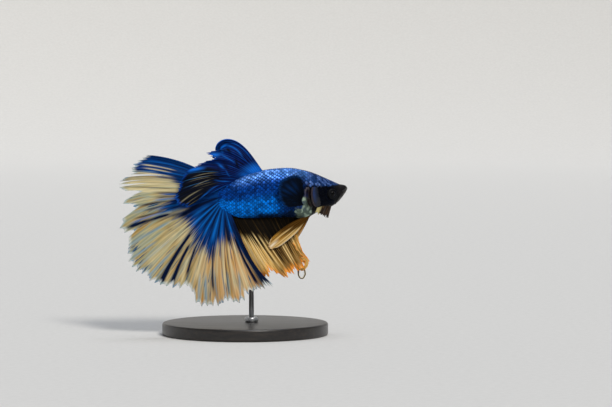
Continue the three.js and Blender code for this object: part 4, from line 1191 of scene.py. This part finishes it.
def fin_material(name, palette):
    """Fin membrane on bony rays: thin wet skin, dull between the rays. Colour runs outwards
    in streaks about one ray branch wide, from the root tints over a ragged fade to the
    outer tints, darker between the rays, with stray slivers and a tinted margin. The
    darkening midway between the key rays is partly pigment and partly painted shade of
    the pleats, and the raised rays are painted lighter and the hollows between them
    darker, as painted highlight and shade of their relief."""
    material, add = new_material(name)
    values = {label: add("Attribute", attribute_name=label) for label in FIN_VALUES}
    place = add("CombineXYZ", {"X": values["ray"], "Y": values["out"]})
    noise = {}
    for label, (per_ray, per_mm, low, high) in FIN_STREAKS.items():
        stretched = add("Mapping", {"Vector": place, "Scale": (per_ray, per_mm, 1)})
        waves = add("TexNoise", {"Vector": stretched, "Scale": 1.0, "Detail": 2.0})
        noise[label] = add("MapRange", {"Value": waves, "From Min": low, "From Max": high})
    tints = {}
    for label, source in TINT_NOISE.items():
        tints[label] = add("ValToRGB", {"Fac": noise[source]}, stops=palette[label])
    ragged = add("Math", {
        0: noise["fine"], 1: palette["fringe"], 2: values["base_tint"],
    }, operation="MULTIPLY_ADD")
    fade = add("MapRange", {
        "Value": ragged, "From Min": palette["fringe"] / 2 - palette["fade"],
        "From Max": palette["fringe"] / 2 + palette["fade"],
    }, interpolation_type="SMOOTHSTEP")
    sliver = add("MapRange", {
        "Value": noise["stray"], "From Min": palette["sliver"], "From Max": palette["sliver"] + 0.06,
    }, interpolation_type="SMOOTHSTEP")
    margin = add("MapRange", {
        "Value": values["edge"], "From Min": palette["tip_width"], "From Max": 0.0,
    }, interpolation_type="SMOOTHSTEP")
    turning = add("ValToRGB", {"Fac": fade}, stops=[
        (0.0, "#000000"), (0.5, "#ffffff"), (1.0, "#000000"),
    ])
    ray_tint = add("MixRGB", {"Fac": fade, "Color1": tints["inner_ray"], "Color2": tints["outer_ray"]})
    gap_tint = add("MixRGB", {
        "Fac": fade, "Color1": palette["inner_gap"], "Color2": palette["outer_gap"],
    })
    paint = tints["inner"]
    for first, second, over in [
        (fade, 1.0, tints["outer"]), (fade, values["warmth_and_shade"], tints["outer_warm_and_shade"]),
        (turning, 0.6, palette["between"]),
        (values["ridge"], palette["ray_share"], ray_tint),
        (values["gap"], palette["gap_share"], gap_tint),
        (sliver, fade, palette["sliver_colour"]),
        (values["ice_streak"], noise["soft"], palette["ice"]),
        (values["pale_streak"], noise["soft"], palette["pale"]),
        (values["bright_streak"], noise["soft"], palette["bright"]),
        (values["dark_streak"], noise["soft"], palette["streak"]),
        (margin, 1.0, tints["tip"]),
    ]:
        amount = add("Math", {0: first, 1: second}, operation="MULTIPLY", use_clamp=True)
        paint = add("MixRGB", {"Fac": amount, "Color1": paint, "Color2": over})
    # Painted highlight on the raised rays and painted shade in the hollows between them.
    relief = add("MapRange", {"Value": values["ridge"], "To Min": palette["hollow"], "To Max": 1.1})
    paint = add("MixRGB", {"Fac": 1.0, "Color1": paint, "Color2": relief}, blend_type="MULTIPLY")
    bump = add("Bump", {"Height": noise["joints"], "Strength": 0.5, "Distance": 0.05 * MM})
    shader = add("BsdfPrincipled", {
        "Base Color": paint, "Roughness": palette["roughness"], "Normal": bump,
        "Specular IOR Level": 0.05,
    })
    through = add("BsdfTranslucent", {"Color": paint})
    both = add("MixShader", {0: palette["see_light"], 1: shader, 2: through})
    add("OutputMaterial", {"Surface": both})
    return material


TAIL_PALETTE = {
    "inner": [(0.1, "#000e2c"), (0.4, "#012660"), (0.6, "#034898"), (0.9, "#01163e")],
    "inner_ray": [(0.2, "#033c94"), (0.6, "#065cb0"), (0.9, "#246498")],
    "inner_gap": "#000822",
    "outer": [(0.0, "#7d9490"), (0.25, "#aca270"), (0.45, "#c0aa72"), (0.62, "#b4b48c"),
              (0.8, "#94a69c"), (1.0, "#b09458")],
    "outer_warm_and_shade": [(0.0, "#8c9690"), (0.2, "#bc9048"), (0.45, "#e4ac6c"), (0.65, "#e0b884"),
                   (0.82, "#b4a07c"), (1.0, "#d08c3c")],
    "outer_ray": [(0.1, "#c4b680"), (0.5, "#d8c898"), (0.8, "#c4c6ac")],
    "outer_gap": "#6c6c58", "between": "#4c5f84", "ray_share": 0.3, "gap_share": 0.35, "sliver": 0.6,
    "sliver_colour": "#36587c", "streak": "#021436", "bright": "#0a72d4", "pale": "#e6d9ac",
    "ice": "#86a8bc",
    "tip": [(0.2, "#b4ccd0"), (0.5, "#f2f2ea"), (0.8, "#7ca4c4")],
    "tip_width": 1.6, "fringe": 9.0, "fade": 2.4, "hollow": 0.9, "roughness": 0.55, "see_light": 0.14,
}
# The near-black outer tints, which the rear rows reach, are partly pigment and partly painted shade of the
# cupped rear lobe.
DORSAL_PALETTE = {
    **TAIL_PALETTE, "inner": [(0.1, "#000418"), (0.4, "#000e3c"), (0.65, "#001a60"), (0.9, "#000624")],
    "inner_ray": [(0.2, "#001e64"), (0.6, "#003c9c"), (0.9, "#0860c0")], "between": "#020a28",
    "ice": "#4c9ce4", "inner_gap": "#00061c",
    "outer": [(0.1, "#010308"), (0.5, "#030814"), (0.7, "#06122c"), (0.9, "#01040a")],
    "outer_warm_and_shade": [(0.1, "#010308"), (0.9, "#01040a")],
    "outer_ray": [(0.2, "#03081a"), (0.5, "#061026"), (0.8, "#040e2e")], "outer_gap": "#000206",
    "ray_share": 0.8, "gap_share": 0.7, "sliver": 0.72, "sliver_colour": "#5c5846", "streak": "#000416",
    "bright": "#1274e8", "pale": "#a09878",
    "tip": [(0.2, "#03318c"), (0.5, "#0a58c0"), (0.8, "#021c58")], "tip_width": 1.2, "fringe": 5.0,
    "fade": 1.6, "hollow": 0.8,
}
# Near-black root tints, partly pigment and partly painted shadow under the belly; the second outer tint is
# a dark brown painted shade over the fin's front part.
GOLD_PALETTE = {
    **TAIL_PALETTE, "inner": [(0.1, "#040302"), (0.5, "#0e0a05"), (0.9, "#181108")],
    "inner_ray": [(0.2, "#181007"), (0.6, "#3a2b14"), (0.9, "#6c5326")], "inner_gap": "#030201",
    "outer": [(0.05, "#94692a"), (0.25, "#dca24c"), (0.5, "#ffd47c"), (0.7, "#fbd48a"), (0.95, "#ac7c34")],
    "outer_warm_and_shade": [(0.05, "#1e0d01"), (0.35, "#432302"), (0.6, "#6c3e06"), (0.9, "#2c1601")],
    "outer_ray": [(0.1, "#e0a848"), (0.5, "#f8ce78"), (0.8, "#ffdf9c")], "outer_gap": "#62421a",
    "between": "#3c2a10", "ray_share": 0.45, "gap_share": 0.5, "sliver": 0.6,
    "sliver_colour": "#2c1a08", "streak": "#1c1004", "bright": "#ffe09a", "pale": "#fff2d4",
    "tip": [(0.15, "#ffdc98"), (0.35, "#f68c20"), (0.6, "#ffb048"), (0.85, "#e07410")],
    "tip_width": 2.7, "fringe": 6.0, "fade": 2.0, "hollow": 0.97,
}
RIBBON_PALETTE = {
    **GOLD_PALETTE, "inner": [(0.1, "#281804"), (0.5, "#523408"), (0.9, "#321f04")],
    "inner_ray": [(0.2, "#5e3c0a"), (0.8, "#946818")],
    "outer": [(0.1, "#6e4a10"), (0.5, "#b8842e"), (0.9, "#86591a")],
    "outer_warm_and_shade": [(0.1, "#9c5206"), (0.5, "#e08a1c"), (0.9, "#c06c0c")],
    "outer_ray": [(0.2, "#b88434"), (0.8, "#e4b868")], "outer_gap": "#402a08", "sliver": 0.66,
    "sliver_colour": "#5c3c10", "streak": "#4c300c", "bright": "#f2d08c",
    "tip": [(0.2, "#e0b068"), (0.5, "#fbe6bc"), (0.8, "#d09848")], "tip_width": 0.8,
}
# Near-black tints: partly the fin's dark rays and partly painted shade over the shoulder.
VEIL_PALETTE = {
    **TAIL_PALETTE, "inner": [(0.1, "#010207"), (0.5, "#020610"), (0.9, "#01040c")],
    "inner_ray": [(0.2, "#020812"), (0.6, "#041226"), (0.9, "#030c1a")], "inner_gap": "#000104",
    "outer": [(0.1, "#01040c"), (0.5, "#020a1a"), (0.9, "#010610")],
    "outer_warm_and_shade": [(0.1, "#01040c"), (0.9, "#010610")],
    "outer_ray": [(0.2, "#030e20"), (0.6, "#062040"), (0.9, "#041226")], "outer_gap": "#01030a",
    "sliver": 0.7, "sliver_colour": "#0c3866", "streak": "#01030a", "bright": "#062e60",
    "pale": "#29506c", "tip": [(0.2, "#03204a"), (0.5, "#083a74"), (0.8, "#021530")], "tip_width": 1.3,
    "fringe": 3.0, "between": "#020812", "gap_share": 0.3, "ray_share": 0.3, "hollow": 0.95,
}

# ---------------------------------------------------------------- stand

STAND_X, STAND_Y = 2.0, 1.15
BASE_ROUND = 0.7
COLLAR_ROUND = 0.45
FLAT_CENTRE = 0.5
BASE_SIDES, COLLAR_SIDES, ROD_SIDES = 160, 64, 48


def wood_material():
    """Ebonised beech, turned and waxed: near black with a fine ring grain that shows as a
    faint brown figure, and a soft wax gloss."""
    material, add = new_material("ebonised_beech")
    place = add("TexCoord", give="Object")
    stretch = add("Mapping", {
        "Vector": place, "Scale": (1 / (14 * MM), 1 / (1.1 * MM), 1 / (1.1 * MM)),
    })
    grain = add("TexNoise", {"Vector": stretch, "Scale": 1.0, "Detail": 6.0, "Roughness": 0.65})
    tint = add("ValToRGB", {"Fac": grain}, stops=[(0.3, "#0d0b0a"), (0.5, "#1a1614"), (0.7, "#2e2620")])
    bump = add("Bump", {"Height": grain, "Strength": 0.25, "Distance": 0.08 * MM})
    gloss = add("MapRange", {"Value": grain, "To Min": 0.28, "To Max": 0.5})
    shader = add("BsdfPrincipled", {
        "Base Color": tint, "Roughness": gloss, "Normal": bump, "IOR": 1.5, "Coat Weight": 0.2,
        "Coat Roughness": 0.25,
    })
    add("OutputMaterial", {"Surface": shader})
    return material


def steel_material():
    """Stainless steel drawn and brushed along its length: fine lines about 0.1 mm apart
    vary the gloss of the rod."""
    material, add = new_material("brushed_stainless")
    place = add("TexCoord", give="Object")
    stretch = add("Mapping", {"Vector": place, "Scale": (1 / (0.1 * MM), 1 / (0.1 * MM), 1 / (8 * MM))})
    lines = add("TexNoise", {"Vector": stretch, "Scale": 1.0, "Detail": 3.0})
    gloss = add("MapRange", {"Value": lines, "To Min": 0.2, "To Max": 0.42})
    tint = add("ValToRGB", {"Fac": lines}, stops=[(0.3, "#a9abad"), (0.7, "#cfd1d3")])
    bump = add("Bump", {"Height": lines, "Strength": 0.15, "Distance": 0.01 * MM})
    shader = add("BsdfPrincipled", {
        "Base Color": tint, "Roughness": gloss, "Normal": bump, "Metallic": 1.0,
    })
    add("OutputMaterial", {"Surface": shader})
    return material


def rounded_profile(box, round_off):
    """Profile of a disc with both edges rounded, from the middle of its underside to its top."""
    (_, _, bottom), (_, _, top) = box
    flat = (box[1][0] - box[0][0]) / 2 - round_off
    corner = np.linspace(0, math.pi / 2, 7)
    under = [(flat + round_off * math.sin(a), bottom + round_off * (1 - math.cos(a))) for a in corner]
    over = [(flat + round_off * math.cos(a), top - round_off * (1 - math.sin(a))) for a in corner]
    return [(FLAT_CENTRE, bottom), *under, *over, (FLAT_CENTRE, top)]


def make_stand():
    """A turned disc, and a rod in a collar that stands on it and reaches the belly."""
    wood = wood_material()
    steel = steel_material()
    place = (STAND_X, STAND_Y)
    base_profile = rounded_profile(in_mm(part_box("stand_base")), BASE_ROUND)
    base = make_turned("base_disc", base_profile, BASE_SIDES)
    settle(base, wood, "stand_base", "stand_base")
    collar_profile = rounded_profile(in_mm(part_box("stand_collar")), COLLAR_ROUND)
    collar = make_turned("rod_collar", collar_profile, COLLAR_SIDES, place)
    settle(collar, steel, "stand_metal", "stand_collar")
    low, high = in_mm(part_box("stand_rod"))
    radius = (high[0] - low[0]) / 2
    rod = make_turned("rod", [(radius, low[2]), (radius, high[2])], ROD_SIDES, place)
    settle(rod, steel, "stand_metal", "stand_rod")


# ---------------------------------------------------------------- room, lights and camera

VIEW_CENTRE = (19.8, 42.7)
VIEW_DISTANCE = 1000.0
VIEW_WIDTH = 198.9
VIEW_RISE = math.radians(3.0)
FLOOR_REACH = 1400.0
SWEEP_RADIUS = 500.0
WALL_TOP = 900.0
FLOOR_SIDES = 96
FLOOR_RINGS = 12


def make_room():
    """A pale round floor that sweeps up into a low wall on every side."""
    turn = np.linspace(0, math.pi / 2, 16)
    flat = np.linspace(1, FLOOR_REACH, FLOOR_RINGS)
    radius = np.concatenate([flat, FLOOR_REACH + SWEEP_RADIUS * np.sin(turn[1:])])
    height = np.concatenate([0 * flat, SWEEP_RADIUS * (1 - np.cos(turn[1:]))])
    wall = [[FLOOR_REACH + SWEEP_RADIUS, WALL_TOP]]
    profile = np.append(np.stack([radius, height], -1), wall, axis=0)
    faces = quads(len(profile), FLOOR_SIDES, wrap=True).tolist()
    faces.append(list(range(FLOOR_SIDES)))
    material, add = new_material("pale_paper")
    place = add("TexCoord", give="Object")
    fibres = add("TexNoise", {"Vector": place, "Scale": 1 / (2 * MM), "Detail": 4.0})
    tint = add("ValToRGB", {"Fac": fibres}, stops=[(0.3, "#d4d4d3"), (0.7, "#d9d9d8")])
    shader = add("BsdfPrincipled", {"Base Color": tint, "Roughness": 0.9})
    add("OutputMaterial", {"Surface": shader})
    sweep = make_mesh("paper_sweep", turned(profile, FLOOR_SIDES), faces)
    sweep.data.materials.append(material)


def aim(thing, direction):
    """Turns a lamp or camera so that it looks along a direction."""
    flat = math.hypot(direction[0], direction[1])
    thing.rotation_euler = (math.atan2(flat, -direction[2]), 0, math.atan2(-direction[0], direction[1]))


def make_lamp(name, towards, power, width_deg, hex_value):
    """A distant soft lamp: the direction that it stands in, seen from the fish, its power
    and how wide it looks."""
    lamp = bpy.data.lights.new(name, "SUN")
    lamp.energy = power
    lamp.angle = math.radians(width_deg)
    lamp.color = colour(hex_value)[:3]
    piece = bpy.data.objects.new(name, lamp)
    bpy.context.scene.collection.objects.link(piece)
    aim(piece, [-value for value in towards])


def make_studio():
    """Soft lamps over and in front of the fish, and a camera that faces its right flank
    from slightly above."""
    make_lamp("key_lamp", (0.35, -0.75, 0.75), 1.9, 16, "#fffaf2")
    make_lamp("top_lamp", (0.1, 0.25, 1.0), 1.0, 30, "#f4f8ff")
    world = bpy.data.worlds.new("soft_room")
    world.use_nodes = True
    sky = world.node_tree.nodes["Background"]
    sky.inputs["Color"].default_value = colour("#e6e9ee")
    sky.inputs["Strength"].default_value = 0.32
    bpy.context.scene.world = world
    bpy.context.scene.view_settings.view_transform = "Standard"
    lens = bpy.data.cameras.new("flank_view")
    lens.sensor_width = 36.0
    lens.lens = 36.0 * VIEW_DISTANCE / VIEW_WIDTH
    lens.clip_start = 0.01
    camera = bpy.data.objects.new("flank_view", lens)
    bpy.context.scene.collection.objects.link(camera)
    camera.location = (
        VIEW_CENTRE[0] * MM, -VIEW_DISTANCE * MM * math.cos(VIEW_RISE),
        VIEW_CENTRE[1] * MM + VIEW_DISTANCE * MM * math.sin(VIEW_RISE),
    )
    aim(camera, (0.0, math.cos(VIEW_RISE), -math.sin(VIEW_RISE)))
    bpy.context.scene.camera = camera


# ---------------------------------------------------------------- assembly

make_room()
make_studio()

settle(make_skin(), skin_material(), "scaled_skin", "head", "lower_jaw", "trunk", "tail_stalk")
scales = scale_material()
eyes = eye_material()
plates = gill_cover_material()
veil = fin_material("dark_veil_fin", VEIL_PALETTE)
gold = fin_material("golden_fin", GOLD_PALETTE)
for word, side in SIDES.items():
    settle(make_scales(word, side), scales, "scaled_skin")
    settle(make_eye(word, side), eyes, "eye", f"eye_{word}")
    settle(make_gill_cover(word, side), plates, "gill_skin", f"gill_cover_{word}")
    pectoral = make_fin(f"pectoral_veil_{word}", PECTORAL, VEIL_PAINT, side)
    settle(pectoral, veil, "veil_fin", f"pectoral_fin_{word}")

settle(make_throat_membrane(), membrane_material(), "throat_membrane", "gill_membrane")
tail = make_fin("tail_fin", CAUDAL, TAIL_PAINT)
settle(tail, fin_material("blue_to_cream_fin", TAIL_PALETTE), "tail_fin",
       "caudal_fin_upper", "caudal_fin_middle", "caudal_fin_lower")
dorsal = make_fin("dorsal_fin", DORSAL, DORSAL_PAINT)
settle(dorsal, fin_material("blue_black_fin", DORSAL_PALETTE), "blue_fin",
       "dorsal_fin_front", "dorsal_fin_rear")
settle(make_fin("anal_fin", ANAL, GOLD_PAINT), gold, "gold_fin", "anal_fin_rear", "anal_fin_front")
for name in ANAL_STRIPS:
    settle(make_strip(name), gold, "gold_fin")
ribbon = fin_material("golden_ribbon_fin", RIBBON_PALETTE)
settle(make_fin("pelvic_fin_near", PELVIC_RIGHT, RIBBON_PAINT), ribbon, "gold_fin", "pelvic_fin_right")
settle(make_fin("pelvic_fin_far", PELVIC_LEFT, FAR_RIBBON_PAINT), ribbon, "gold_fin", "pelvic_fin_left")
make_stand()
